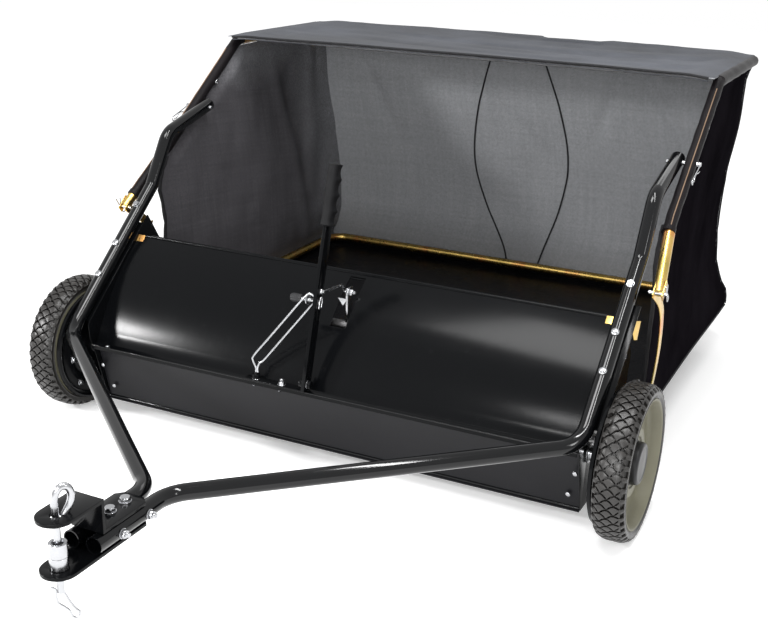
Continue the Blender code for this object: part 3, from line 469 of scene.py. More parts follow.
def bar(name, points, radius, wall=0.0, resolution=4, cyclic=False):  # rod, or tube with a wall
    curve = bpy.data.curves.new(name, "CURVE")
    curve.dimensions = "3D"
    curve.bevel_depth = radius
    curve.bevel_resolution = resolution
    curve.use_fill_caps = wall == 0.0
    spline = curve.splines.new("POLY")
    spline.points.add(len(points) - 1)
    for slot, point in zip(spline.points, points):
        slot.co = (*point, 1.0)
    spline.use_cyclic_u = cyclic
    piece = bpy.data.objects.new(name, curve)
    bpy.context.scene.collection.objects.link(piece)
    pickUp(piece)
    bpy.ops.object.convert(target="MESH")
    piece = bpy.context.active_object
    faceOutward(piece, 0.00001)
    if wall:
        addModifier(piece, "SOLIDIFY", thickness=wall, offset=-1.0)
    return piece


def joined(name, parts):
    clearSelection()
    for part in parts:
        part.select_set(True)
    bpy.context.view_layer.objects.active = parts[0]
    if len(parts) > 1:
        bpy.ops.object.join()
    return nameIt(name)


def at(x, y, z):  # a point given from the axle's Y
    return Vector((x, y + axleY, z))


# fasteners: each kind modelled once, then copied
fastenerSizes = {"across": 0.0125, "headHeight": 0.0052, "nutHeight": 0.0058, "washer": 0.0083,
                 "washerHeight": 0.0012, "thread": 0.0038, "threadOut": 0.0045,
                 "screwRadius": 0.0050}


def washerDisc(height):
    bpy.ops.mesh.primitive_cylinder_add(vertices=28, radius=fastenerSizes["washer"], depth=height,
                                        location=(0.0, 0.0, height / 2.0))
    washer = bpy.context.active_object
    return addModifier(washer, "BEVEL", width=0.0003, segments=1, limit_method="ANGLE")


def hexPrism(height, base, crown):  # a hexagon whose top corners are turned off
    radius = fastenerSizes["across"] / 2.0 / math.cos(math.radians(30.0))
    bpy.ops.mesh.primitive_cylinder_add(vertices=6, radius=radius, depth=height,
                                        location=(0.0, 0.0, base + height / 2.0))
    prism = bpy.context.active_object
    bpy.ops.object.transform_apply(location=True, rotation=True, scale=True)
    bpy.ops.mesh.primitive_cone_add(vertices=36, radius1=radius * 1.9, radius2=radius * 0.74,
                                    depth=height * 3.0,
                                    location=(0.0, 0.0, base + height - height * 1.5 + crown))
    cone = bpy.context.active_object
    turnedOff = prism.modifiers.new("turnedOff", "BOOLEAN")
    turnedOff.operation = "INTERSECT"
    turnedOff.solver = "EXACT"
    turnedOff.object = cone
    pickUp(prism)
    bpy.ops.object.modifier_apply(modifier="turnedOff")
    bpy.data.objects.remove(cone, do_unlink=True)
    return prism


def threadStub(base):
    rings = []
    for turn in range(5):
        height = base + fastenerSizes["threadOut"] * turn / 4.0
        rings += [(0.88, height), (1.0, height + 0.0005)]
    radius = fastenerSizes["thread"]
    profile = [(0.0, -0.001)] + [(radius, -0.001)] + [(radius * s, h) for s, h in rings]
    profile += [(radius * 0.8, rings[-1][1] + 0.0006), (0.0, rings[-1][1] + 0.0006)]
    stub = spun("stub", profile, 0.0, 0.0, 0.0, 14)
    pickUp(stub)
    stub.rotation_euler = (0.0, math.radians(-90.0), 0.0)
    bpy.ops.object.transform_apply(location=True, rotation=True, scale=True)
    return stub


def domed(radius, height):
    profile = [(0.0, height)]
    for step in range(1, 7):
        angle = math.radians(15.0 * step)
        profile.append((radius * math.sin(angle), height * (0.25 + 0.75 * math.cos(angle))))
    profile += [(radius, 0.0), (0.0, 0.0)]
    dome = spun("dome", profile, 0.0, 0.0, 0.0, 24)
    pickUp(dome)
    dome.rotation_euler = (0.0, math.radians(-90.0), 0.0)
    bpy.ops.object.transform_apply(location=True, rotation=True, scale=True)
    return dome


def makeFasteners():
    s = fastenerSizes
    rise = s["washerHeight"]
    models = {
        "hex": joined("hexHead", [washerDisc(rise), hexPrism(s["headHeight"], rise, 0.0012)]),
        "nut": joined("hexNut", [washerDisc(rise), hexPrism(s["nutHeight"], rise, 0.0012),
                                 threadStub(rise + s["nutHeight"])]),
        "bareNut": joined("bareNut", [hexPrism(s["nutHeight"], 0.0, 0.0012),
                                      threadStub(s["nutHeight"])]),
        "screw": joined("panHead", [domed(s["screwRadius"], 0.0032)]),
        "coach": joined("coachHead", [domed(0.0085, 0.0048)]),
    }
    meshes = {kind: model.data for kind, model in models.items()}
    for model in models.values():
        bpy.data.objects.remove(model, do_unlink=True)
    return meshes


fasteners = makeFasteners()


def fitFasteners(name, body, rows):  # rows of (kind, point, direction, scale)
    parts = []
    for index, (kind, point, direction, scale) in enumerate(rows):
        mesh = fasteners[kind].copy()
        turn = Vector((0.0, 0.0, 1.0)).rotation_difference(Vector(direction)).to_matrix().to_4x4()
        spin = Matrix.Rotation(0.7 + 1.3 * index, 4, "Z")
        mesh.transform(Matrix.Translation(point) @ turn @ spin @ Matrix.Scale(scale, 4))
        part = bpy.data.objects.new(name + str(index), mesh)
        bpy.context.scene.collection.objects.link(part)
        parts.append(part)
    piece = settle(joined(name, parts), brightZinc, body, 30.0)
    return piece


# frame tubes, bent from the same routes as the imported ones
tubeSizes = {"radius": 0.0127, "wall": 0.0016, "sideX": 0.4875, "bend": 0.060,
             "nose": (0.018, -0.651, 0.165), "noseBendY": -0.492,
             "sideBend": (-0.092, 0.181), "sideTop": (0.164, 0.402), "pivot": (0.357, 0.533),
             "corner": (0.226, 0.500), "cornerBend": 0.045}
sideRun = Vector((0.0, 0.256, 0.221)).normalized()
sideUp = Vector((0.0, -sideRun.z, sideRun.y))


def buildTubes():
    t = tubeSizes
    for name, side in (("left", -1.0), ("right", 1.0)):
        nose = t["nose"]
        low = bendRoute([at(side * nose[0], nose[1], nose[2]),
                         at(side * nose[0], t["noseBendY"], nose[2]),
                         at(side * t["sideX"], *t["sideBend"]),
                         at(side * t["sideX"], *t["sideTop"])], t["bend"], 14)
        draw = bar("drawTube" + name.title(), low, t["radius"], t["wall"], 8)
        settle(draw, tubeGloss, "housing_frame", 40.0)
        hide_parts("draw_tube_" + name)
        start = at(side * t["sideX"], *t["sideTop"])
        corner, pivot = at(side * t["sideX"], *t["corner"]), at(side * t["sideX"], *t["pivot"])
        ahead = (pivot - corner).normalized()
        high = [start + sideRun * 0.0006, start + sideRun * 0.004]
        high += bendRoute([start + Vector((0.0, 0.008, 0.010)), corner,
                           pivot + ahead * 0.015], t["cornerBend"], 12)
        extension = bar("extensionTube" + name.title(), high, t["radius"], t["wall"], 8)
        settle(extension, tubeGloss, "housing_frame", 40.0)
        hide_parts("extension_tube_" + name)
        dress("tube_cap_" + name, "tubeCap" + name.title(), blackPlastic, 0.0012, 3)
        rows = []
        bend = at(side * t["sideX"], *t["sideBend"])
        for reach in (0.124, 0.196, 0.288):
            middle = bend + sideRun * reach
            rows.append(("coach" if reach < 0.28 else "hex", middle + sideUp * t["radius"],
                         sideUp, 0.80))
            if reach < 0.28:
                rows.append(("nut", middle - sideUp * (t["radius"] + 0.0023), -sideUp, 0.9))
        fitFasteners("sideTubeBolts" + name.title(), "housing_frame", rows)
    print("frame tubes built")


buildTubes()


# housing: cover, end plates, front panel, and what is bolted to them
housingSizes = {"lipY": 0.1055, "lipZ": 0.3215, "half": 0.4722, "lipRadius": 0.0034,
                "panelHalf": 0.4700, "panelFoot": (-0.0090, 0.0290),
                "flangeEdge": (-0.0562, 0.1482)}


def buildHousing():
    h = housingSizes
    lip, foot, edge = (h["lipY"], h["lipZ"]), h["panelFoot"], h["flangeEdge"]
    fold = (h["lipY"] - 0.0085, h["lipZ"] - 0.0085)
    for name, half, place, radius, fineness, coat in (
            ("coverLip", h["half"], lip, h["lipRadius"], 5, blackGloss),
            ("panelFoot", h["panelHalf"], foot, 0.0025, 4, tubeGloss),
            ("flangeEdge", h["half"], edge, 0.0011, 3, tubeGloss),
            ("coverFold", h["half"], fold, 0.0016, 3, blackGloss)):
        ends = [at(-half, *place), at(half, *place)]
        piece = settle(bar(name, ends, radius, 0.0, fineness), coat, "housing_frame", 60.0)
    dress("housing_cover", "housingCover", blackGloss, 0.0003, 1, 40.0, 60.0)
    dress("front_panel", "frontPanel", charcoalSatin, 0.0004, 2, 30.0, 40.0)
    for name, side in (("left", -1.0), ("right", 1.0)):
        dress("end_plate_" + name, "endPlate" + name.title(), blackGloss, 0.0005, 2, 30.0, 50.0)
        dress("corner_bracket_" + name, "cornerBracket" + name.title(), yellowZinc, 0.0005)
        outward = (side, 0.0, 0.0)
        panelOut = (0.0, -0.956, -0.292)
        fitFasteners("housingScrews" + name.title(), "housing_frame", [
            ("screw", at(side * 0.466, -0.0335, 0.1015), panelOut, 0.9),
            ("screw", at(side * 0.4535, -0.0198, 0.0560), panelOut, 0.9),
            ("screw", at(side * 0.440, -0.050, 0.1485), (0.0, 0.0, 1.0), 0.9),
            ("hex", at(side * 0.4745, -0.046, 0.163), outward, 0.85),
            ("hex", at(side * 0.4745, 0.176, 0.232), outward, 0.85),
            ("hex", at(side * 0.4745, 0.160, 0.070), outward, 0.85),
        ])
        corners = [at(side * 0.4950, 0.1079, 0.3195), at(side * 0.5054, 0.1365, 0.3124),
                   at(side * 0.5033, 0.1309, 0.2808), at(side * 0.5003, 0.1226, 0.2829)]
        gusset = fromPoints("gusset" + name.title(), corners, [], [(0, 1, 2, 3)])
        addModifier(gusset, "SOLIDIFY", thickness=0.0022, offset=0.0)
        addModifier(gusset, "BEVEL", width=0.0005, segments=2, limit_method="ANGLE")
        settle(gusset, yellowZinc, "housing_frame", 30.0)
        corners = [at(side * 0.4580, 0.0770, 0.2925), at(side * 0.4940, 0.0770, 0.2925),
                   at(side * 0.4940, 0.1035, 0.3235), at(side * 0.4580, 0.1035, 0.3235)]
        tab = fromPoints("cornerTab" + name.title(), corners, [], [(0, 1, 2, 3)])
        addModifier(tab, "SOLIDIFY", thickness=0.0018, offset=0.0)
        addModifier(tab, "BEVEL", width=0.0004, segments=2, limit_method="ANGLE")
        settle(tab, yellowZinc, "housing_frame", 30.0)
        collar = spun("axleCollar" + name.title(),
                      [(0.0083, 0.0), (0.0165, 0.0), (0.0170, 0.0008), (0.0170, 0.0030),
                       (0.0125, 0.0034), (0.0125, 0.0105), (0.0118, 0.0112), (0.0083, 0.0112)],
                      side * 0.4750, axleY, 0.127, 32, side)
        settle(collar, brightZinc, "brush_carrier", 30.0)
    print("housing dressed")


buildHousing()


# wheels: tyre with raised scale lugs, deep rim, cap, ring gear and dust dish
wheelSizes = {"radius": 0.127, "faceX": 0.568, "width": 0.052, "axleZ": 0.127, "lugs": 44,
              "lugReach": 0.0112, "groove": 0.0019, "lugHeight": 0.0050, "lugCrown": 0.0006,
              "block": (0.0182, 0.0258, 0.0044)}


def crownRadius(x):  # the tyre's outer radius, x from its middle
    beyond = max(0.0, abs(x) - 0.009)
    return wheelSizes["radius"] - 0.0105 * (beyond / 0.017) ** 2.3


def buildTread(name, side):
    w = wheelSizes
    middle = w["faceX"] - w["width"] / 2.0
    pitch = 2.0 * math.pi * w["radius"] / w["lugs"]
    reach = w["lugReach"]
    stations = 9
    points, faces = [], []
    for column in range(-2, 3):
        across = column * reach
        low, high = (-reach, reach)
        if column == -2:
            low = 0.0
        if column == 2:
            high = 0.0
        for lug in range(w["lugs"]):
            start = lug * pitch + (pitch / 2.0 if column % 2 else 0.0)
            first = len(points)
            for station in range(stations):
                offset = low + (high - low) * station / (stations - 1)
                offset = max(low + w["groove"], min(high - w["groove"], offset))
                share = offset / reach
                top = pitch / 2.0 * math.cos(math.pi / 2.0 * share) - w["groove"]
                bottom = pitch / 2.0 * (abs(math.sin(math.pi / 2.0 * share)) - 1.0) + w["groove"]
                if top - bottom < 0.0012:
                    top, bottom = ((top + bottom) / 2.0 + 0.0006, (top + bottom) / 2.0 - 0.0006)
                x = across + offset
                for place, lift in ((bottom, 0.0), ((top + bottom) / 2.0, w["lugCrown"]),
                                    (top, 0.0)):
                    angle = -(start + place) / w["radius"]
                    radius = crownRadius(x) - w["lugCrown"] + lift
                    points.append((side * (middle + x), axleY + radius * math.cos(angle),
                                   w["axleZ"] + radius * math.sin(angle)))
            for station in range(stations - 1):
                for row in range(2):
                    a = first + station * 3 + row
                    quad = (a, a + 3, a + 4, a + 1)
                    faces.append(quad if side > 0.0 else quad[::-1])
    tread = fromPoints("tread", points, [], faces)
    faceOutward(tread, 0.00001)
    outward = 0.0
    for polygon in tread.data.polygons:
        outward += polygon.normal.dot(polygon.center - Vector((side * middle, axleY, w["axleZ"])))
    if outward < 0.0:
        tread.data.flip_normals()
    addModifier(tread, "SOLIDIFY", thickness=w["lugHeight"] + 0.0008, offset=-1.0)
    addModifier(tread, "BEVEL", width=0.00045, segments=1, limit_method="ANGLE",
                angle_limit=math.radians(50.0))
    return tread


def buildShoulders(name, side):  # blocks along both edges of the tread
    w = wheelSizes
    middle = w["faceX"] - w["width"] / 2.0
    inner, outer, reach = w["block"]
    points, faces = [], []
    for edge in (-1.0, 1.0):
        for lug in range(w["lugs"]):
            turn = 2.0 * math.pi * (lug + (0.5 if edge > 0.0 else 0.0)) / w["lugs"]
            first = len(points)
            for x, low, high, width in ((inner, 0.1150, crownRadius(inner) + 0.0002, 1.0),
                                        ((inner + outer) / 2.0, 0.1150, 0.1229, 1.05),
                                        (outer, 0.1150, 0.1190, 0.85)):
                for radius, away in ((low, -1.0), (low, 1.0), (high, 0.86), (high, -0.86)):
                    angle = turn + away * reach * width / 0.122
                    points.append((side * (middle + edge * x), axleY + radius * math.cos(angle),
                                   w["axleZ"] + radius * math.sin(angle)))
            for level in range(2):
                for corner in range(4):
                    a = first + level * 4 + corner
                    b = first + level * 4 + (corner + 1) % 4
                    faces.append((a, b, b + 4, a + 4))
            faces += [(first + 3, first + 2, first + 1, first),
                      (first + 8, first + 9, first + 10, first + 11)]
    blocks = fromPoints("shoulders", points, [], faces)
    faceOutward(blocks)
    addModifier(blocks, "BEVEL", width=0.0006, segments=1, limit_method="ANGLE",
                angle_limit=math.radians(40.0))
    return blocks


def buildWheel(name, side):
    w = wheelSizes
    body = "wheel_" + name
    half = w["width"] / 2.0
    middle = side * (w["faceX"] - half)
    deep = w["lugHeight"]
    profile = [(0.1063, half - 0.0035), (0.1068, half - 0.0022), (0.1090, half - 0.0010),
               (0.1098, half + 0.0001), (0.1108, half - 0.0007), (0.1130, half - 0.0002),
               (0.1160, half - 0.0004), (0.1168, half + 0.0000), (0.1176, half - 0.0012)]
    for step in range(13):
        x = (half - 0.0016) * (1.0 - 2.0 * step / 12.0)
        profile.append((min(0.1185 if abs(x) > half - 0.003 else 1.0, crownRadius(x) - deep), x))
    profile += [(radius, -along) for radius, along in profile[8::-1]]
    casing = spun("casing", profile + [profile[0]], middle, axleY, w["axleZ"], 88, side)
    tyre = settle(joined("tyre" + name.title(), [casing, buildTread(name, side),
                                                     buildShoulders(name, side)]), tyreRubber,
                  body, 40.0)
    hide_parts("tyre_" + name)

    inner = 0.1031
    dish = [(0.1060, half - 0.0030), (0.1057, half - 0.0016), (0.1045, half - 0.0010),
            (inner, half - 0.0016), (0.1022, half - 0.0032), (0.0985, half - 0.0165),
            (0.0970, half - 0.0210), (0.0940, half - 0.0236), (0.0890, half - 0.0244),
            (0.0620, half - 0.0250), (0.0592, half - 0.0240), (0.0575, half - 0.0200),
            (0.0560, half - 0.0178), (0.0535, half - 0.0170), (0.0440, half - 0.0170),
            (0.0420, half - 0.0176), (0.0405, half - 0.0200), (0.0380, half - 0.0208),
            (0.0064, half - 0.0208), (0.0064, half - 0.0262), (0.0190, half - 0.0262),
            (0.0190, half - 0.0450), (0.0250, half - 0.0450), (0.0270, half - 0.0290),
            (0.0560, half - 0.0282), (0.0930, half - 0.0276), (0.0985, half - 0.0256),
            (0.1010, half - 0.0200), (0.1022, -half + 0.0010), (0.1060, -half + 0.0010)]
    rim = spun("rim" + name.title(), dish + [dish[0]], middle, axleY, w["axleZ"], 96, side)
    settle(rim, rimPlastic, body, 40.0)
    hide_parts("rim_" + name)

    cap = [(0.0365, half - 0.0206), (0.0362, half - 0.0190), (0.0348, half - 0.0182),
           (0.0345, half - 0.0105), (0.0338, half - 0.0074), (0.0316, half - 0.0056),
           (0.0285, half - 0.0050), (0.0272, half - 0.0057), (0.0250, half - 0.0060),
           (0.0120, half - 0.0052), (0.0, half - 0.0050), (0.0, half - 0.0206)]
    hub = spun("hubCap" + name.title(), cap + [cap[0]], middle, axleY, w["axleZ"], 56, side)
    settle(hub, blackPlastic, body, 40.0)
    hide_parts("hub_cap_" + name)

    dress("ring_gear_" + name, "ringGear" + name.title(), blackPlastic, 0.0003, 1)
    dress("drive_pinion_" + name, "drivePinion" + name.title(), darkSteel, 0.0003, 1)

    shell = [(0.0066, 0.0085), (0.0155, 0.0085), (0.0175, 0.0060), (0.0350, 0.0050),
             (0.0380, 0.0020), (0.0420, 0.0014), (0.0450, 0.0042), (0.0600, 0.0046),
             (0.0630, 0.0018), (0.0670, 0.0012), (0.0700, 0.0040), (0.0830, 0.0044),
             (0.0890, 0.0014), (0.0935, 0.0010), (0.0975, 0.0058), (0.1030, 0.0078),
             (0.1068, 0.0060), (0.1076, 0.0010), (0.1064, 0.0008), (0.1025, 0.0056),
             (0.0985, 0.0044), (0.0930, -0.0012), (0.0066, -0.0012)]
    shell = [(radius, -along) for radius, along in shell]
    guard = spun("dustDish" + name.title(), shell + [shell[0]], side * 0.5125, axleY, w["axleZ"],
                 80, side)
    settle(guard, blackGloss, "brush_carrier", 40.0)
    inward = (-side, 0.0, 0.0)
    spots = [(-0.0665, 0.114), (-0.0506, 0.063), (0.004, 0.192), (0.058, 0.075)]
    if side > 0.0:
        spots = [(-0.051, 0.157), (-0.060, 0.100), (0.0, 0.192), (0.058, 0.075)]
    fitFasteners("dishBolts" + name.title(), "brush_carrier",
                 [("hex", at(side * 0.5083, y, z), inward, 0.82) for y, z in spots])
    spacer = spun("axleSpacer" + name.title(), [(0.0066, -0.029), (0.0115, -0.029),
                  (0.0115, 0.0), (0.0066, 0.0), (0.0066, -0.029)], side * 0.5045, axleY,
                  w["axleZ"], 28, side)
    settle(spacer, brightZinc, "brush_carrier", 30.0)


for wheelName, wheelSide in (("left", -1.0), ("right", 1.0)):
    buildWheel(wheelName, wheelSide)
    print("wheel built:", wheelName)


# brush: shaft and core kept, each row replaced by tufts of nylon
brushSizes = {"y": 0.07798, "z": 0.11604, "radius": 0.098, "core": 0.0303, "half": 0.462,
              "tufts": 44, "strands": 9, "strand": 0.0011}


def buildBristles():
    b = brushSizes
    random = np.random.default_rng(7)
    for name, side in (("left", -1.0), ("right", 1.0)):
        for row in range(3):
            turn = 2.0 * math.pi * (row + (0.5 if side > 0.0 else 0.0)) / 3.0
            along = Vector((0.0, math.cos(turn), math.sin(turn)))
            across = Vector((0.0, -math.sin(turn), math.cos(turn)))
            width = b["half"] - 0.012
            points, edges, faces = [], [], []
            for tuft in range(b["tufts"]):
                root = side * (0.008 + width * (tuft + 0.5) / b["tufts"])
                for strand in range(b["strands"]):
                    spread = 2.0 * math.pi * strand / (b["strands"] - 1)
                    near = 0.0 if strand == b["strands"] - 1 else 0.0022
                    lean = random.normal(0.0, 0.0016, 2)
                    base = Vector((root + near * math.cos(spread), axleY + b["y"], b["z"]))
                    base += across * near * math.sin(spread) + along * (b["core"] - 0.001)
                    reach = b["radius"] - b["core"] - random.uniform(0.0, 0.004)
                    tip = base + along * reach + across * (near * 1.6 * math.sin(spread) + lean[0])
                    tip.x += near * 1.6 * math.cos(spread) + lean[1]
                    middle = (base + tip) / 2.0 + across * lean[1]
                    first = len(points)
                    for place, size in ((base, 1.0), (middle, 1.0), (tip, 0.7)):
                        for corner in range(3):
                            angle = 2.0 * math.pi * corner / 3.0 + strand
                            points.append(place + across * b["strand"] * size * math.cos(angle)
                                          + Vector((b["strand"] * size * math.sin(angle), 0, 0)))
                    for level in range(2):
                        for corner in range(3):
                            a = first + level * 3 + corner
                            c = first + level * 3 + (corner + 1) % 3
                            faces.append((a, c, c + 3, a + 3))
                    faces.append((first + 6, first + 7, first + 8))
                    faces.append((first + 2, first + 1, first))
            tufts = fromPoints("tufts", points, edges, faces)
            base = copyOf("bristle_row_" + name + "_" + str(row + 1), "strip", 0.0)
            pickUp(base)
            bpy.ops.object.mode_set(mode="EDIT")
            mesh = bmesh.from_edit_mesh(base.data)
            centre = Vector((0.0, axleY + b["y"], b["z"]))
            for vertex in mesh.verts:
                out = vertex.co - centre
                height = out.dot(along)
                vertex.co -= along * max(0.0, height - b["core"] - 0.006)
            bmesh.update_edit_mesh(base.data)
            bpy.ops.mesh.select_all(action="SELECT")
            bpy.ops.mesh.normals_make_consistent(inside=False)
            bpy.ops.object.mode_set(mode="OBJECT")
            piece = joined("bristles" + name.title() + str(row + 1), [tufts, base])
            faceOutward(piece)
            settle(piece, bristleNylon, "brush", 40.0)
            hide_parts("bristle_row_" + name + "_" + str(row + 1))
    print("bristles built")


buildBristles()


# hitch: plates eased, hexagon bolts with nuts, ring pin, grooved sleeve and cotter
hitchSizes = {"pinY": -0.696, "boltY": (-0.594, -0.562), "flatTop": 0.1832, "lowerFoot": 0.1468,
              "pin": 0.006, "foot": 0.1165, "sleeveFoot": 0.1523, "sleeveTop": 0.1890,
              "sleeve": 0.0123}


def buildHitch():
    h = hitchSizes
    dress("hitch_plate_lower", "hitchPlateLower", blackGloss, 0.0008, 3)
    dress("hitch_bracket_upper", "hitchBracketUpper", blackGloss, 0.0012, 3)
    for name, y in zip(("front", "rear"), h["boltY"]):
        top, low = at(0.0, y, h["flatTop"]), at(0.0, y, h["lowerFoot"])
        shank = bar("shank", [top + Vector((0.0, 0.0, 0.002)), low - Vector((0.0, 0.0, 0.004))],
                    0.0038, 0.0, 4)
        head = bpy.data.objects.new("head", fasteners["hex"].copy())
        nut = bpy.data.objects.new("nut", fasteners["nut"].copy())
        for part, place, turn in ((head, top, 0.0), (nut, low, math.pi)):
            bpy.context.scene.collection.objects.link(part)
            part.data.transform(Matrix.Translation(place) @ Matrix.Rotation(turn, 4, "X")
                                @ Matrix.Rotation(0.5 + y * 40.0, 4, "Z") @ Matrix.Scale(1.1, 4))
        bolt = settle(joined("hitchBolt" + name.title(), [shank, head, nut]), brightZinc,
                      "housing_frame", 30.0)
        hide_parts("hitch_bolt_" + name)
    fitFasteners("hitchCrossBolts", "housing_frame", [
        ("nut", at(0.0310, -0.550, 0.165), (1.0, 0.0, 0.0), 0.9),
        ("nut", at(0.0310, -0.608, 0.165), (1.0, 0.0, 0.0), 0.9),
        ("coach", at(-0.0310, -0.550, 0.165), (-1.0, 0.0, 0.0), 0.8),
        ("coach", at(-0.0310, -0.608, 0.165), (-1.0, 0.0, 0.0), 0.8)])

    base, tall = h["sleeveFoot"], h["sleeveTop"] - h["sleeveFoot"]
    profile = [(0.0064, 0.0), (0.0117, 0.0), (h["sleeve"], 0.0006), (h["sleeve"], tall * 0.46),
               (0.0119, tall * 0.475), (h["sleeve"], tall * 0.49), (h["sleeve"], tall - 0.0008),
               (0.0116, tall), (0.0084, tall), (0.0076, tall - 0.0016), (0.0064, tall - 0.0060),
               (0.0064, 0.0)]
    sleeve = spun("hitchSleeve", profile, 0.0, 0.0, 0.0, 48)
    pickUp(sleeve)
    sleeve.rotation_euler = (0.0, math.radians(-90.0), 0.0)
    sleeve.location = at(0.0, h["pinY"], base)
    settle(sleeve, brightZinc, "housing_frame", 30.0)
    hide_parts("hitch_spacer")

    pinY, top = h["pinY"], 0.2160
    points = [at(0.0, pinY, h["foot"]), at(0.0, pinY, 0.180), at(0.0, pinY, top + 0.010)]
    turned = Vector((0.55, 0.83, 0.0)).normalized()
    for sideways, rise in ((-0.0006, 0.022), (-0.0003, 0.031), (0.0018, 0.0395), (0.0060, 0.0460),
                           (0.0115, 0.0480), (0.0168, 0.0458), (0.0202, 0.0395), (0.0209, 0.0315),
                           (0.0188, 0.0235), (0.0150, 0.0160), (0.0116, 0.0105),
                           (0.0096, 0.0068)):
        points.append(at(0.0, pinY, top + rise) + turned * sideways)
    path = [points[0], points[1]] + smoothPath(points[2:], 5)
    pin = settle(bar("hitchPin", path, h["pin"] * 0.80, 0.0, 6), brightZinc, "hitch_pin", 50.0)
    addModifier(pin, "BEVEL", width=0.0012, segments=2, limit_method="ANGLE",
                angle_limit=math.radians(50.0))
    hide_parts("hitch_pin")

    middle = at(0.0, pinY, 0.1205)
    run, up = Vector((0.30, 0.22, -0.93)).normalized(), Vector((-0.80, 0.58, 0.05)).normalized()
    across = run.cross(up).normalized()
    up = across.cross(run).normalized()
    gap = h["pin"] + 0.0012
    spots = [(-0.010, gap * 0.2), (0.0, gap * 0.2), (0.018, gap * 0.3), (0.032, gap * 0.5),
             (0.041, gap * 0.9), (0.0455, gap * 0.2), (0.042, -gap * 0.5), (0.032, -gap * 0.5),
             (0.024, -gap * 0.9), (0.014, -gap * 1.5), (0.004, -gap * 1.2), (-0.004, -gap * 0.8),
             (-0.010, -gap * 1.3)]
    clip = smoothPath([middle + run * a + across * b for a, b in spots], 5)
    cotter = settle(bar("hitchCotter", clip, 0.0016, 0.0, 3), brightZinc, "hitch_pin", 60.0)
    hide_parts("hitch_hairpin")
    print("hitch built")


buildHitch()


# height control: lever, moulded grip, slotted strap, knob, link rod and crank
leverSizes = {"x": -0.008, "pivot": (-0.060, 0.166), "lean": 15.4, "length": 0.271,
              "grip": 0.107, "clamp": 0.143, "link": 0.161, "width": 0.022,
              "strapGap": 0.0185, "strapWire": 0.0021}


def leverPoint(reach, sideways=0.0, forward=0.0):
    v = leverSizes
    lean = math.radians(v["lean"])
    return at(v["x"] + sideways,
              v["pivot"][0] + reach * math.sin(lean) - forward * math.cos(lean),
              v["pivot"][1] + reach * math.cos(lean) + forward * math.sin(lean))


def buildGrip():
    v = leverSizes
    base, long = v["length"], v["grip"]
    rows, steps = 46, 20
    points, faces = [], []
    for row in range(rows):
        share = row / (rows - 1)
        finger = (1.0 - share) * 4.0
        bump = 0.0022 - 0.0046 * abs(math.sin(math.pi * finger)) ** 0.6
        ends = min(1.0, share * 30.0 + 0.55, (1.0 - share) * 24.0 + 0.45)
        collar = 0.0010 if 0.02 < share < 0.06 else 0.0
        for step in range(steps):
            angle = 2.0 * math.pi * step / steps
            c, s = math.cos(angle), math.sin(angle)
            square = (abs(c) ** 3.2 + abs(s) ** 3.2) ** (-1.0 / 3.2)
            front, side = square * c * 0.0140, square * s * 0.0098
            held = 1.0 + bump * max(0.0, 0.80 * s - 0.60 * c) / 0.0105
            front, side = front * held, side * held
            points.append(leverPoint(base + long * share, side * ends + collar * s,
                                     front * ends + 0.0005 + collar * c))
    for row in range(rows - 1):
        for step in range(steps):
            a, b = row * steps + step, row * steps + (step + 1) % steps
            faces.append((a, b, b + steps, a + steps))
    faces.append(tuple(range(steps))[::-1])
    faces.append(tuple((rows - 1) * steps + i for i in range(steps)))
    grip = fromPoints("leverGrip", points, [], faces)
    faceOutward(grip)
    settle(grip, gripRubber, "height_lever", 55.0)
    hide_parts("lever_grip")


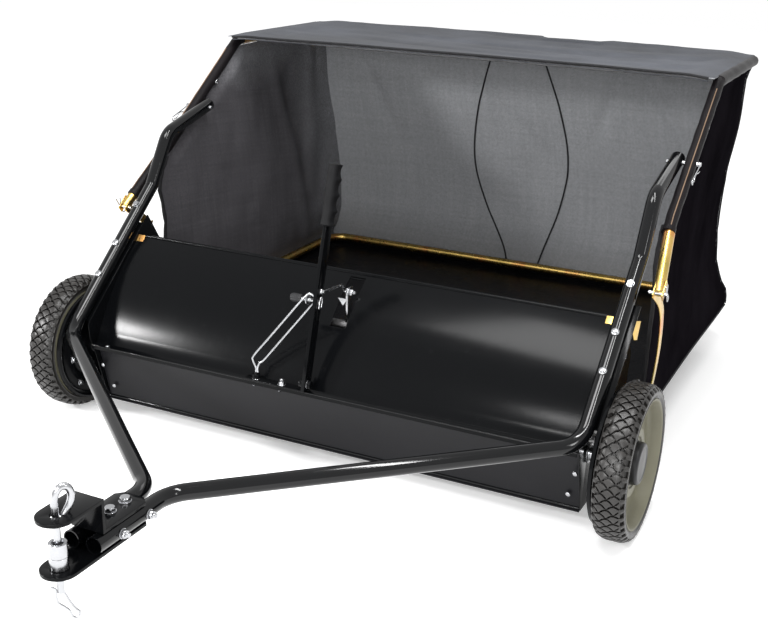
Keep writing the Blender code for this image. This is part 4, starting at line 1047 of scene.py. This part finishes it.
def buildControls():
    v = leverSizes
    dress("height_lever", "heightLever", blackGloss, 0.0009, 3)
    buildGrip()
    dress("lever_bracket", "leverBracket", blackGloss, 0.0006, 2)
    foot, head = at(-0.114, -0.050, 0.1640), leverPoint(v["clamp"], -0.0160)
    knee = foot + Vector((0.0, 0.0, 0.0200))
    run = (head - knee).normalized()
    up = (Vector((0.0, 0.0, 1.0)) - run * run.z).normalized()
    gap = v["strapGap"] / 2.0
    wire = [foot, foot + Vector((0.0, 0.0, 0.0080)), knee + up * gap * 0.55 - run * 0.002,
            knee + up * gap + run * 0.006]
    wire += [knee + up * gap + (head - knee) * share for share in (0.3, 0.6, 0.92)]
    for angle in (60, 30, 0, -30, -60):
        reach = math.radians(angle)
        wire.append(head + run * (0.002 + gap * math.cos(reach)) + up * gap * math.sin(reach))
    wire += [knee - up * gap + (head - knee) * share for share in (0.92, 0.6, 0.3, 0.07)]
    wire += [knee - up * gap * 0.75 + run * 0.001, foot + Vector((0.0032, 0.0, 0.0070)),
             foot + Vector((0.0036, 0.0, 0.0))]
    strap = settle(bar("adjustStrap", smoothPath(wire, 4), v["strapWire"], 0.0, 3), brightZinc,
                   "adjust_strap", 60.0)
    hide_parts("adjust_strap")
    front = leverPoint(v["link"], 0.0085)
    tip = at(0.0105, 0.060, 0.300)
    rise = Vector((front.x, tip.y - 0.0085, tip.z + 0.0150))
    near = Vector((front.x, tip.y, tip.z))
    route = [front - Vector((0.0140, 0.0, 0.0))] + bendRoute([front - Vector((0.010, 0.0, 0.0)),
             front, rise, near, tip], 0.0040, 6)
    link = settle(bar("linkRod", route, 0.0022, 0.0, 4), brightZinc, "link_rod", 60.0)
    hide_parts("link_rod")
    corners = [at(-0.0085, 0.0535, 0.2890), at(0.0105, 0.0535, 0.2890), at(0.0015, 0.0535, 0.2760)]
    plate = fromPoints("crankPlate", corners, [], [(0, 2, 1)])
    addModifier(plate, "SOLIDIFY", thickness=0.0016, offset=0.0)
    settle(plate, brightZinc, "brush_carrier", 30.0)
    dress("height_crank", "heightCrank", brightZinc, 0.0006, 2)
    dress("height_cross_tube", "heightCrossTube", darkSteel, 0.0006, 1, 60.0)
    fitFasteners("bracketBolts", "housing_frame", [
        ("hex", at(-0.114, -0.050, 0.1518), (0.0, 0.0, 1.0), 0.9),
        ("nut", at(-0.061, -0.052, 0.1518), (0.0, 0.0, 1.0), 0.9),
        ("nut", at(-0.120, -0.0485, 0.1462), (0.0, 0.0, -1.0), 0.9),
        ("nut", at(-0.068, -0.0485, 0.1462), (0.0, 0.0, -1.0), 0.9),
        ("hex", at(v["x"] + 0.0036, *v["pivot"]), (1.0, 0.0, 0.0), 0.9)])
    fitFasteners("linkNuts", "link_rod", [
        ("bareNut", at(0.0128, 0.060, 0.300), (1.0, 0.0, 0.0), 0.85),
        ("bareNut", leverPoint(v["link"], 0.0032), (1.0, 0.0, 0.0), 0.7)])
    clip = [leverPoint(v["clamp"] + up, 0.0050, out)
            for up, out in ((-0.012, 0.001), (0.002, 0.001), (0.008, -0.003), (0.002, -0.007),
                            (-0.010, -0.007))]
    staple = settle(bar("leverStaple", smoothPath(clip, 5), 0.0017, 0.0, 3), brightZinc,
                    "height_lever", 60.0)

    start = leverPoint(v["clamp"])
    profile = [(0.0, -0.0040), (0.0030, -0.0040), (0.0032, 0.0)]
    for turn in range(15):
        profile += [(0.0032, 0.0020 + 0.0020 * turn), (0.0027, 0.0030 + 0.0020 * turn)]
    profile += [(0.0032, 0.0325), (0.0, 0.0325)]
    stem = spun("knobStem", profile, start.x, start.y, start.z, 20, -1.0)
    settle(stem, brightZinc, "adjust_knob", 40.0)
    washer = spun("clampWasher", [(0.0034, 0.0175), (0.0085, 0.0175), (0.0085, 0.0190),
                                  (0.0034, 0.0190), (0.0034, 0.0175)], start.x, start.y,
                  start.z, 28, -1.0)
    settle(washer, brightZinc, "adjust_knob", 30.0)
    rows = [(0.0, 0.0300), (0.0058, 0.0300), (0.0072, 0.0312), (0.0076, 0.0330),
            (0.0078, 0.0480), (0.0070, 0.0500), (0.0050, 0.0510), (0.0, 0.0512)]
    knob = spun("adjustKnob", rows, start.x, start.y, start.z, 48, -1.0)
    for vertex in knob.data.vertices:  # grip flutes round the knob
        across = Vector((0.0, vertex.co.y - start.y, vertex.co.z - start.z))
        if across.length > 0.0070:
            turn = math.atan2(across.z, across.y)
            vertex.co -= across.normalized() * 0.0007 * (1.0 + math.cos(8.0 * turn))
    settle(knob, blackPlastic, "adjust_knob", 50.0)
    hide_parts("adjust_knob")
    print("controls built")


buildControls()


# hopper bag: a sewn shell on the gold frame, pulled in at its rear seams, slack between them
bagSizes = {"half": 0.5035, "wall": 0.0016, "top": 0.6680, "topHalf": 0.5125,
            "hemY": 0.486, "rearY": 0.886, "floorZ": 0.0975, "footY": 0.957, "frontY": 0.224,
            "handHold": (0.066, 0.196)}
pullStations = [(0.09, -0.003), (0.132, -0.002), (0.155, 0.012), (0.20, 0.026), (0.27, 0.031),
                (0.34, 0.028), (0.41, 0.023), (0.50, 0.009), (0.60, 0.003), (0.67, 0.000)]
mouthRoute = [(0.224, 0.0975), (0.222, 0.180), (0.223, 0.255), (0.229, 0.315), (0.222, 0.355),
              (0.213, 0.385), (0.222, 0.418), (0.243, 0.449), (0.270, 0.470), (0.330, 0.512),
              (0.400, 0.562), (0.462, 0.606), (0.496, 0.629), (0.520, 0.6405)]


def between(stations, value):
    places = [station[0] for station in stations]
    return float(np.interp(value, places, [station[1] for station in stations]))


def smoothStep(low, high, value):
    share = min(1.0, max(0.0, (value - low) / (high - low)))
    return share * share * (3.0 - 2.0 * share)


def ripple(*terms):  # a slow sum of waves that repeats the same way each run
    return sum(size * math.sin(rate * value + phase) for size, rate, value, phase in terms)


def along(points, count):  # points spread evenly by length
    lengths = [0.0]
    for before, after in zip(points, points[1:]):
        lengths.append(lengths[-1] + (Vector(after) - Vector(before)).length)
    places = [lengths[-1] * i / (count - 1) for i in range(count)]
    width = len(points[0])
    columns = [np.interp(places, lengths, [p[i] for p in points]) for i in range(width)]
    return [tuple(float(column[i]) for column in columns) for i in range(count)], lengths[-1]


def sidePull(y, z):  # how far the side cloth is drawn in at the rear seam
    rear = smoothStep(0.50, 0.93, y) ** 1.4
    middle = math.exp(-((y - 0.62) / 0.17) ** 2) * math.exp(-((z - 0.33) / 0.15) ** 2)
    return between(pullStations, z) * rear + 0.009 * middle


def sideX(side, y, z):
    b = bagSizes
    amount = 1.0 if side < 0.0 else 0.8
    wrinkle = amount * ripple((0.0014, 23.0, y + 0.4 * z, 0.7), (0.0008, 41.0, y - 0.7 * z, 2.1),
                              (0.0003, 83.0, z + 0.3 * y, 0.4))
    edge = smoothStep(0.0, 0.05, min(z - 0.095, 0.664 - z)) * smoothStep(0.20, 0.27, y)
    below = min(((y - 0.25) * 0.71 + 0.457 - z) * 0.815, 0.652 - z)
    near = smoothStep(0.040, 0.004, below) * smoothStep(0.235, 0.27, y)
    edge *= 1.0 - near
    if side < 0.0:  # the long slanting folds on the far side
        line = (y - 0.70) + 0.32 * (z - 0.42)
        wrinkle += 0.0065 * math.exp(-(line / 0.020) ** 2) * smoothStep(0.62, 0.50, z)
        line = (y - 0.80) - 0.10 * (z - 0.45)
        wrinkle -= 0.0050 * math.exp(-(line / 0.028) ** 2) * smoothStep(0.12, 0.30, z)
    return side * (b["half"] + 0.0085 * near - sidePull(y, z) - abs(wrinkle) * edge)


def seamY(z):
    foot = bagSizes["footY"]
    return between([(0.095, foot - 0.004), (0.11, foot), (0.39, 0.9175), (0.645, 0.8905),
                    (0.668, 0.884)], z)


def rearY(x, z):
    b = bagSizes
    line = seamY(z)
    inside = smoothStep(b["half"], b["half"] - 0.16, abs(x))
    belly = math.sin(math.pi * min(1.0, max(0.0, (z - 0.11) / 0.53)))
    slack = inside * belly * (0.006 + ripple((0.0035, 6.1, x, 0.9), (0.0018, 17.0, x + z, 0.2),
                                             (0.0008, 37.0, x - 0.6 * z, 1.3)))
    crease = (x - 0.340) - (0.520 - z) * 0.69
    slack += 0.0080 * math.exp(-(crease / 0.0085) ** 2) * smoothStep(0.43, 0.48, z)
    for across, tall, lean, deep, width in ((-0.36, 0.50, 0.5, 0.0075, 0.016),
                                            (-0.22, 0.56, -0.8, 0.0070, 0.020),
                                            (0.02, 0.44, 1.1, 0.0060, 0.022),
                                            (0.21, 0.52, -0.35, 0.0060, 0.014)):
        fold = (x - across) + (z - tall) * lean
        slack += deep * math.exp(-(fold / width) ** 2) * math.exp(-((z - tall) / 0.09) ** 2)
    return line + slack - 0.004 * (1.0 - inside) * belly


def topZ(x, y):
    b = bagSizes
    share = (y - b["hemY"]) / (b["rearY"] - b["hemY"])
    inside = math.sin(math.pi * min(1.0, max(0.0, share)))
    across = smoothStep(b["half"], b["half"] - 0.08, abs(x))
    drop = 0.0048 + 0.006 * max(0.0, share - 0.9)
    corner = smoothStep(b["half"] - 0.05, b["topHalf"], abs(x)) * drop
    long = ripple((0.0012, 46.0, y + 0.03 * math.sin(9.0 * x), 0.3),
                  (0.0009, 92.0, y + 0.05 * math.sin(5.0 * x + 1.0), 1.1),
                  (0.0015, 5.2, x, 0.2), (0.0007, 19.0, x + 2.0 * y, 2.0))
    lean = 0.0022 * x / b["half"] * (1.0 - share) - 0.0015 * share * math.cos(math.pi * x)
    return (b["top"] - corner - lean - inside * across * (0.0075 + long)
            - 0.0010 * abs(long) / 0.002 * across)


# rows are equal lists of points; the first side of the cloth faces along its normals
def clothGrid(name, rows, materialPair, sheetUv, thickness=None):
    width = len(rows[0])
    points = [Vector((p[0], p[1] + axleY, p[2])) for row in rows for p in row]
    faces = [(r * width + c, r * width + c + 1, (r + 1) * width + c + 1, (r + 1) * width + c)
             for r in range(len(rows) - 1) for c in range(width - 1)]
    piece = fromPoints(name, points, [], faces)
    layer = piece.data.uv_layers.new(name="cloth")
    for loop in piece.data.loops:
        layer.data[loop.index].uv = sheetUv[loop.vertex_index]
    pickUp(piece)
    solid = piece.modifiers.new("cloth", "SOLIDIFY")
    solid.thickness = thickness or bagSizes["wall"]
    solid.offset = -1.0
    solid.material_offset = 1
    solid.material_offset_rim = 1
    piece.data.materials.append(materialPair[0])
    piece.data.materials.append(materialPair[1])
    bpy.ops.object.modifier_apply(modifier="cloth")
    bpy.ops.object.shade_smooth_by_angle(angle=math.radians(60.0))
    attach(piece, "hopper")
    return piece


def rowsUv(rows):
    coordinates = []
    down = 0.0
    middle = len(rows[0]) // 2
    for index, row in enumerate(rows):
        if index:
            down += (Vector(row[middle]) - Vector(rows[index - 1][middle])).length
        across = 0.0
        for place, point in enumerate(row):
            if place:
                across += (Vector(point) - Vector(row[place - 1])).length
            coordinates.append((across, down))
    return coordinates


def spreadX(y, z, count):  # one row of the wrap, from the left side cloth to the right one
    left, right = sideX(-1.0, y, z), sideX(1.0, y, z)
    return [left + (right - left) * i / (count - 1) for i in range(count)]


def buildWrap():
    b = bagSizes
    columns = 97
    top = []
    notch = b["handHold"]
    for step in range(41):
        y = b["hemY"] + (b["rearY"] - b["hemY"]) * step / 40.0
        row = []
        for place in range(columns):
            x = b["topHalf"] * (2.0 * place / (columns - 1) - 1.0)
            z = topZ(x, y)
            open_ = smoothStep(notch[0] - 0.012, notch[0] + 0.006, x)
            open_ *= 1.0 - smoothStep(notch[1] - 0.006, notch[1] + 0.016, x)
            back = open_ * 0.027 * smoothStep(0.82, b["rearY"], y)
            frayed = ripple((0.0013, 61.0, x, 0.4), (0.0009, 143.0, x, 1.9))
            sag = 0.0022 * math.sin(3.1 * x + 0.5) * (1.0 - smoothStep(0.0, 0.08, y - b["hemY"]))
            row.append((x, y - back + frayed * smoothStep(0.86, 0.886, y), z + sag))
        top.append(row)
    topPiece = clothGrid("bagTop", top, (topVinyl, bagMesh), rowsUv(top))

    back = []
    for step in range(61):
        z = 0.663 - (0.663 - 0.112) * step / 60.0
        row = []
        for x in spreadX(seamY(z), z, columns):
            y = rearY(x, z)
            open_ = smoothStep(notch[0] - 0.012, notch[0] + 0.006, x)
            open_ *= 1.0 - smoothStep(notch[1] - 0.006, notch[1] + 0.016, x)
            dip = open_ * 0.020 * smoothStep(0.60, 0.663, z)
            row.append((x, y, z - dip))
        back.append(row)
    backPiece = clothGrid("bagBack", back, (bagMesh, bagMesh), rowsUv(back))

    floor = []
    for y, z in ((0.9566, 0.1135), (0.9562, 0.1075), (0.9540, 0.1025), (0.9515, 0.0998)):
        floor.append([(x, y, z) for x in spreadX(y, z, columns)])
    for step in range(53):
        y = 0.9495 - (0.9495 - b["frontY"]) * step / 52.0
        row = []
        for x in spreadX(y, 0.10, columns):
            low = smoothStep(b["half"], b["half"] - 0.05, abs(x)) * math.sin(math.pi * step / 52.0)
            wave = ripple((0.0012, 15.0, x, 0.4), (0.0008, 31.0, y, 1.0),
                          (0.0006, 47.0, x + y, 2.0))
            row.append((x, y, b["floorZ"] + 0.0012 - low * (0.0022 + wave)))
        floor.append(row)
    floorPiece = clothGrid("bagFloor", floor, (floorVinyl, floorVinyl), rowsUv(floor))
    for piece in (topPiece, backPiece, floorPiece):
        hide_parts("hopper_bag")


def buildSides():
    front = along(mouthRoute, 61)[0]
    rearLine = [(0.9495, 0.0975), (0.957, 0.112), (0.952, 0.150), (0.9175, 0.390),
                (0.8905, 0.637), (0.880, 0.6435)]
    rear = along(rearLine, 61)[0]
    for name, side in (("left", -1.0), ("right", 1.0)):
        rows = []
        for row in range(61):
            line = []
            for column in range(57):
                share = column / 56.0
                y = front[row][0] + (rear[row][0] - front[row][0]) * share
                z = front[row][1] + (rear[row][1] - front[row][1]) * share
                x = sideX(side, y, z)
                line.append((x, y, z))
            rows.append(line if side > 0.0 else line[::-1])
        piece = clothGrid("bagSide" + name.title(), rows, (sideVinyl, sideInnerMeshShade), rowsUv(rows))
        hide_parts("hopper_bag")


def crumple(piece, size, rate):  # small waves along the normals
    mesh = piece.data
    for vertex in mesh.vertices:
        x, y, z = vertex.co
        wave = ripple((0.5, rate, y + z, 0.3), (0.3, rate * 1.9, z - x, 1.2),
                      (0.2, rate * 3.3, x + y - z, 2.2))
        vertex.co += vertex.normal * size * wave
    return piece


def trim(name, points, radius, material, resolution=2):
    piece = settle(bar(name, points, radius, 0.0, resolution), material, "hopper", 60.0)
    return piece


def gutter(name, start, end, side, radius):  # cloth laid over a rail, open on the inner side
    points, faces = [], []
    steps, turns = 60, 15
    for step in range(steps):
        middle = start + (end - start) * step / (steps - 1)
        for turn in range(turns):
            angle = math.radians(-96.0 + 226.0 * turn / (turns - 1))
            points.append(middle + Vector((side * radius * math.cos(angle), 0.0,
                                           radius * math.sin(angle))))
    for step in range(steps - 1):
        for turn in range(turns - 1):
            a = step * turns + turn
            quad = (a, a + 1, a + turns + 1, a + turns)
            faces.append(quad[::-1] if side > 0.0 else quad)
    cover = fromPoints(name, points, [], faces)
    addModifier(cover, "SOLIDIFY", thickness=0.0011, offset=-1.0)
    return cover


def postRoute(side):
    return bendRoute([at(side * 0.530, 0.136, 0.364), at(side * 0.5138, 0.25, 0.457),
                      at(side * 0.5138, 0.5246, 0.652), at(side * 0.5138, 0.868, 0.652)],
                     0.045, 12)


def buildTrim():
    b = bagSizes
    for name, side in (("left", -1.0), ("right", 1.0)):
        label = name.title()
        seam = []
        for step in range(34):
            z = 0.1005 + (0.661 - 0.1005) * step / 33.0
            seam.append(at(sideX(side, seamY(z), z) + side * 0.0008, seamY(z) + 0.0006, z))
        trim("rearSeam" + label, seam, 0.0021, binding)
        bottom = [at(sideX(side, y, 0.0985) + side * 0.0006, y, 0.0985)
                  for y in np.linspace(b["frontY"], 0.949, 30)]
        trim("floorSeam" + label, bottom, 0.0021, binding)
        hem = [at(side * (b["half"] - 0.0008), y, z) for y, z in along(mouthRoute[:8], 26)[0]]
        hemPiece = bar("mouthHem" + label, hem, 0.0036, 0.0, 3)
        settle(crumple(hemPiece, 0.0007, 160.0), binding, "hopper", 60.0)
        route = postRoute(side)
        post = bar("hopperPost" + label, [tuple(p) for p in route], 0.0095, 0.0, 8)
        settle(post, yellowZinc, "hopper", 60.0)
        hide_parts("hopper_post_" + name)
        covered = [p for p in route if 0.232 < p.y - axleY < 0.560]
        first = at(side * 0.5150, 0.2290, 0.4410)
        if side < 0.0:
            covered, first = covered[:1] + covered, at(side * 0.5268, 0.158, 0.3818)
        fine, _ = along([tuple(first)] + [tuple(p) for p in covered[1:]], 90)
        sleeve = bar("postSleeve" + label, fine, 0.0108, 0.0, 5)
        settle(crumple(sleeve, 0.0005, 95.0), sleeveVinyl, "hopper", 70.0)
        cuff = bar("sleeveCuff" + label, fine[:3], 0.0119, 0.0, 5)
        settle(crumple(cuff, 0.0006, 210.0), sleeveVinyl, "hopper", 70.0)
        # painted highlight: a thin lighter brown strip along the sleeve's front, where a bright
        # line runs along the post
        highlightLine = [Vector(p) + Vector((side * 0.0035, -0.0062, 0.0085)) for p in fine[2:80]]
        trim("sleevePiping" + label, highlightLine, 0.0010, highlightStripCloth)
        rail = gutter("railCover" + label, at(side * 0.5138, 0.528, 0.652),
                      at(side * 0.5138, 0.872, 0.652), side, 0.0108)
        settle(crumple(rail, 0.0005, 95.0), sleeveVinyl, "hopper", 70.0)
    hem = [at(x, b["hemY"] + 0.0004, topZ(x, b["hemY"]) - 0.0016
              + 0.0022 * math.sin(3.1 * x + 0.5)) for x in np.linspace(-0.502, 0.502, 60)]
    trim("topHem", hem, 0.0023, binding)
    hem = [point - Vector((0.0, 0.0, 0.0052)) for point in hem]
    trim("topHemStitch", hem, 0.0008, topVinyl, 1)
    for label, stations in (("Left", [(0.10, -0.020), (0.153, -0.031), (0.26, -0.078),
                                      (0.363, -0.107), (0.49, -0.100), (0.608, -0.069),
                                      (0.655, -0.052)]),
                            ("Right", [(0.10, 0.050), (0.156, 0.068), (0.27, 0.106),
                                       (0.383, 0.122), (0.50, 0.100), (0.608, 0.062),
                                       (0.655, 0.044)])):
        points = []
        for z in np.linspace(0.104, 0.652, 44):
            x = smoothLine(stations, z)
            points.append(at(x, rearY(x, z) - b["wall"] - 0.0012, z))
        trim("bagStay" + label, points, 0.0019, binding)


def smoothLine(stations, value):  # Catmull-Rom through unevenly placed stations
    places = [s[0] for s in stations]
    index = min(max(int(np.searchsorted(places, value)) - 1, 0), len(stations) - 2)
    low, high = stations[index], stations[index + 1]
    before = stations[max(index - 1, 0)]
    after = stations[min(index + 2, len(stations) - 1)]
    span = high[0] - low[0]
    startSlope = (high[1] - before[1]) / max(high[0] - before[0], 1e-6)
    endSlope = (after[1] - low[1]) / max(after[0] - low[0], 1e-6)
    t = min(1.0, max(0.0, (value - low[0]) / span))
    return ((2 * t**3 - 3 * t**2 + 1) * low[1] + (t**3 - 2 * t**2 + t) * span * startSlope
            + (3 * t**2 - 2 * t**3) * high[1] + (t**3 - t**2) * span * endSlope)


def ringAt(name, centre, normal, radius, wire, body="hopper"):
    turn = Vector((0.0, 0.0, 1.0)).rotation_difference(Vector(normal)).to_matrix()
    points = [centre + turn @ Vector((radius * math.cos(a), radius * math.sin(a), 0.0))
              for a in np.linspace(0.0, 2.0 * math.pi, 29)[:-1]]
    piece = settle(bar(name, points, wire, 0.0, 2, True), brightZinc, body, 60.0)
    return piece


def hairClip(name, middle, run, up, length, body):  # an R clip: one straight leg, one waved
    run, up = Vector(run).normalized(), Vector(up).normalized()
    points = [middle - run * length * 0.52]
    points += [middle + run * length * share for share in (-0.3, -0.1, 0.1, 0.3)]
    for step in range(10):
        angle = math.radians(-90.0 + 30.0 * step)
        points.append(middle + run * (length * 0.40 + 0.0042 * math.cos(angle))
                      + up * (0.0042 + 0.0042 * math.sin(angle)))
    for share, rise in ((0.26, 0.0046), (0.16, 0.0012), (0.05, -0.0016), (-0.08, 0.0010),
                        (-0.2, 0.0046), (-0.34, 0.0068)):
        points.append(middle + run * length * share + up * (rise + 0.0030))
    fine = smoothPath(points, 4)
    piece = settle(bar(name, fine, 0.0011, 0.0, 2), brightZinc, body, 60.0)
    return piece


# a flat bar that follows the points, its width along the given direction
def strip(name, points, across, width, thickness, material, body):
    across = Vector(across).normalized() * width / 2.0
    path = smoothPath(points, 5)
    corners = []
    for point in path:
        corners += [point - across, point + across]
    faces = [(2 * i, 2 * i + 1, 2 * i + 3, 2 * i + 2) for i in range(len(path) - 1)]
    piece = fromPoints(name, corners, [], faces)
    addModifier(piece, "SOLIDIFY", thickness=thickness, offset=0.0)
    addModifier(piece, "BEVEL", width=thickness * 0.25, segments=2, limit_method="ANGLE")
    settle(piece, material, body, 35.0)
    return piece


def buildFittings():
    for name, side in (("left", -1.0), ("right", 1.0)):
        label = name.title()
        if side > 0.0:
            ringAt("eyelet" + label, at(0.5050, 0.520, 0.574), (1.0, 0.0, 0.0), 0.0078, 0.0022)
        else:
            ringAt("eyelet" + label, at(-0.5020, 0.424, 0.5745), (0.9, 0.2, -0.4), 0.0056, 0.0017)
        hairClip("pivotClip" + label, at(side * 0.5300, 0.330, 0.5240), (0.0, -0.957, -0.29),
                 (0.0, 0.29, -0.957), 0.066, "hopper")
        clevis = at(side * 0.530, 0.136, 0.364)
        for ear in (-0.0075, 0.0075):
            strip("clevisEar" + label + ("In" if ear * side < 0.0 else "Out"),
                  [clevis + Vector((ear, 0.018, 0.0147)), clevis + Vector((ear, 0.006, 0.005)),
                   clevis + Vector((ear, -0.006, -0.006))], (0.0, -0.63, 0.77), 0.014, 0.0022,
                  yellowZinc, "hopper")
        pin = [clevis + Vector((side * -0.016, 0.0, 0.0)), clevis + Vector((side * 0.014, 0, 0))]
        trim("clevisPin" + label, pin, 0.0034, brightZinc, 4)
        hairClip("clevisClip" + label, clevis + Vector((side * 0.0125, 0.0, 0.0)),
                 (0.0, 0.55, -0.83), (0.0, 0.83, 0.55), 0.038, "hopper")
        strip("braceStrip" + label,
              [at(side * 0.5225, 0.137, 0.362), at(side * 0.5245, 0.196, 0.318),
               at(side * 0.5235, 0.214, 0.250), at(side * 0.5170, 0.226, 0.180),
               at(side * 0.5080, 0.236, 0.118)], (0.0, 0.9, 0.35), 0.021, 0.0024, yellowZinc,
              "hopper")
    dress("hopper_lower_frame", "hopperLowerFrame", yellowZinc, 0.0, 1, 60.0)
    dress("hopper_top_tube", "hopperTopTube", yellowZinc, 0.0, 1, 60.0)
    for name in ("left", "right"):
        dress("pivot_pin_" + name, "pivotPin" + name.title(), brightZinc, 0.0008, 2)


buildWrap()
buildSides()
buildTrim()
buildFittings()
print("bag built")


# floor, lamps and camera
stageLook = {"floorSize": 16.0, "floorColour": (0.93, 0.93, 0.93), "lift": 0.47,
             "ambient": 0.60}


def buildStage():
    bpy.ops.mesh.primitive_grid_add(x_subdivisions=8, y_subdivisions=8,
                                    size=stageLook["floorSize"], location=(0.0, 0.0, -0.0005))
    floor = nameIt("studioFloor")
    bpy.ops.object.transform_apply(location=True, rotation=True, scale=True)
    look = Look("paleStudioFloor", Roughness=0.9, Specular_IOR_Level=0.1)
    look.feed("Base Color", (*stageLook["floorColour"], 1.0))
    rays = look.add("ShaderNodeLightPath")
    outputs = rays.socket.node.outputs
    seen = Wire(look, outputs["Is Camera Ray"])
    seen = seen.math("MAXIMUM", Wire(look, outputs["Is Glossy Ray"]))
    seen = seen.math("MAXIMUM", Wire(look, outputs["Is Transmission Ray"]))
    x, y = look.axes()[:2]
    far = look.ramp((x * x + y * y) * 0.1, 0.16, 0.72)  # the lamps' light ends where this begins
    seen = seen * (0.56 + far * 0.44)
    tree = look.tree
    lift = tree.nodes.new("ShaderNodeEmission")
    lift.inputs["Strength"].default_value = stageLook["lift"]
    total = tree.nodes.new("ShaderNodeAddShader")
    pick = tree.nodes.new("ShaderNodeMixShader")
    tree.links.new(look.shader.outputs[0], total.inputs[0])
    tree.links.new(lift.outputs[0], total.inputs[1])
    tree.links.new(seen.socket, pick.inputs[0])
    tree.links.new(look.shader.outputs[0], pick.inputs[1])
    tree.links.new(total.outputs[0], pick.inputs[2])
    tree.links.new(pick.outputs[0], tree.nodes["Material Output"].inputs[0])
    floor.data.materials.append(look.material)

    world = bpy.data.worlds.new("studioWorld")
    world.use_nodes = True
    bpy.context.scene.world = world
    tree = world.node_tree
    plain = tree.nodes["Background"]
    plain.inputs["Color"].default_value = (1.0, 1.0, 1.0, 1.0)
    plain.inputs["Strength"].default_value = stageLook["ambient"]
    white = tree.nodes.new("ShaderNodeBackground")
    white.inputs["Color"].default_value = (1.0, 1.0, 1.0, 1.0)
    white.inputs["Strength"].default_value = 1.0
    rays = tree.nodes.new("ShaderNodeLightPath")
    seen = rays.outputs["Is Camera Ray"]
    for other in ("Is Glossy Ray", "Is Transmission Ray"):
        most = tree.nodes.new("ShaderNodeMath")
        most.operation = "MAXIMUM"
        tree.links.new(seen, most.inputs[0])
        tree.links.new(rays.outputs[other], most.inputs[1])
        seen = most.outputs[0]
    pick = tree.nodes.new("ShaderNodeMixShader")
    tree.links.new(seen, pick.inputs[0])
    tree.links.new(plain.outputs[0], pick.inputs[1])
    tree.links.new(white.outputs[0], pick.inputs[2])
    tree.links.new(pick.outputs[0], tree.nodes["World Output"].inputs[0])


def addLamp(name, place, target, size, power, roll=0.0):
    lamp = bpy.data.lights.new(name, "AREA")
    lamp.shape = "RECTANGLE"
    lamp.size, lamp.size_y = size
    lamp.energy = power
    holder = bpy.data.objects.new(name, lamp)
    bpy.context.scene.collection.objects.link(holder)
    holder.location = place
    aim = Vector(target) - Vector(place)
    turn = aim.to_track_quat("-Z", "Y") @ Vector((1.0, 0.0, 0.0)).rotation_difference(
        Vector((math.cos(roll), math.sin(roll), 0.0)))
    holder.rotation_euler = turn.to_euler()


# solved from the photograph; the angles are in radians, the focal length in its pixels
cameraView = {"azimuth": 0.448136, "elevation": 0.343668, "roll": 0.0264285,
              "place": (0.9201, -1.6904, 0.9594), "focal": 1189.43, "pixelsWide": 768.0,
              "sensor": 36.0}


def addCamera():
    c = cameraView
    azimuth, elevation, roll = c["azimuth"], c["elevation"], c["roll"]
    looking = Vector((-math.sin(azimuth) * math.cos(elevation),
                      math.cos(azimuth) * math.cos(elevation), -math.sin(elevation)))
    right = looking.cross(Vector((0.0, 0.0, 1.0))).normalized()
    up = right.cross(looking)
    right, up = (math.cos(roll) * right + math.sin(roll) * up,
                 -math.sin(roll) * right + math.cos(roll) * up)
    camera = bpy.data.cameras.new("photoCamera")
    camera.sensor_width = c["sensor"]
    camera.lens = c["focal"] / c["pixelsWide"] * c["sensor"]
    holder = bpy.data.objects.new("photoCamera", camera)
    bpy.context.scene.collection.objects.link(holder)
    turn = Matrix((right, up, -looking)).transposed().to_4x4()
    holder.matrix_world = Matrix.Translation(at(*c["place"])) @ turn
    bpy.context.scene.camera = holder


buildStage()
addLamp("keyLamp", (-2.0, -1.8, 1.28), (-0.3, 0.0, 0.3), (0.42, 0.20), 46.0)
addLamp("broadLamp", (-0.22, -0.92, 2.8), (0.3, 0.0, 0.2), (1.0, 0.85), 44.0)
addLamp("lowLamp", (-0.12, -2.1, 1.50), (0.35, 0.0, 0.25), (0.34, 0.10), 5.0)
addLamp("tubeLamp", (0.85, -0.40, 2.4), (0.75, -0.40, 0.2), (1.7, 0.13), 34.0, 0.85)
addLamp("frontLamp", (0.6, -3.4, 1.10), (0.0, 0.7, 0.40), (1.7, 0.7), 68.0)
addLamp("sideLamp", (2.6, -0.9, 1.5), (0.2, 0.0, 0.3), (0.20, 0.9), 8.0)
addLamp("backLamp", (0.3, 2.6, 2.6), (0.0, 0.2, 0.6), (2.0, 0.5), 8.0)
addCamera()
bpy.context.scene.view_settings.view_transform = "Standard"
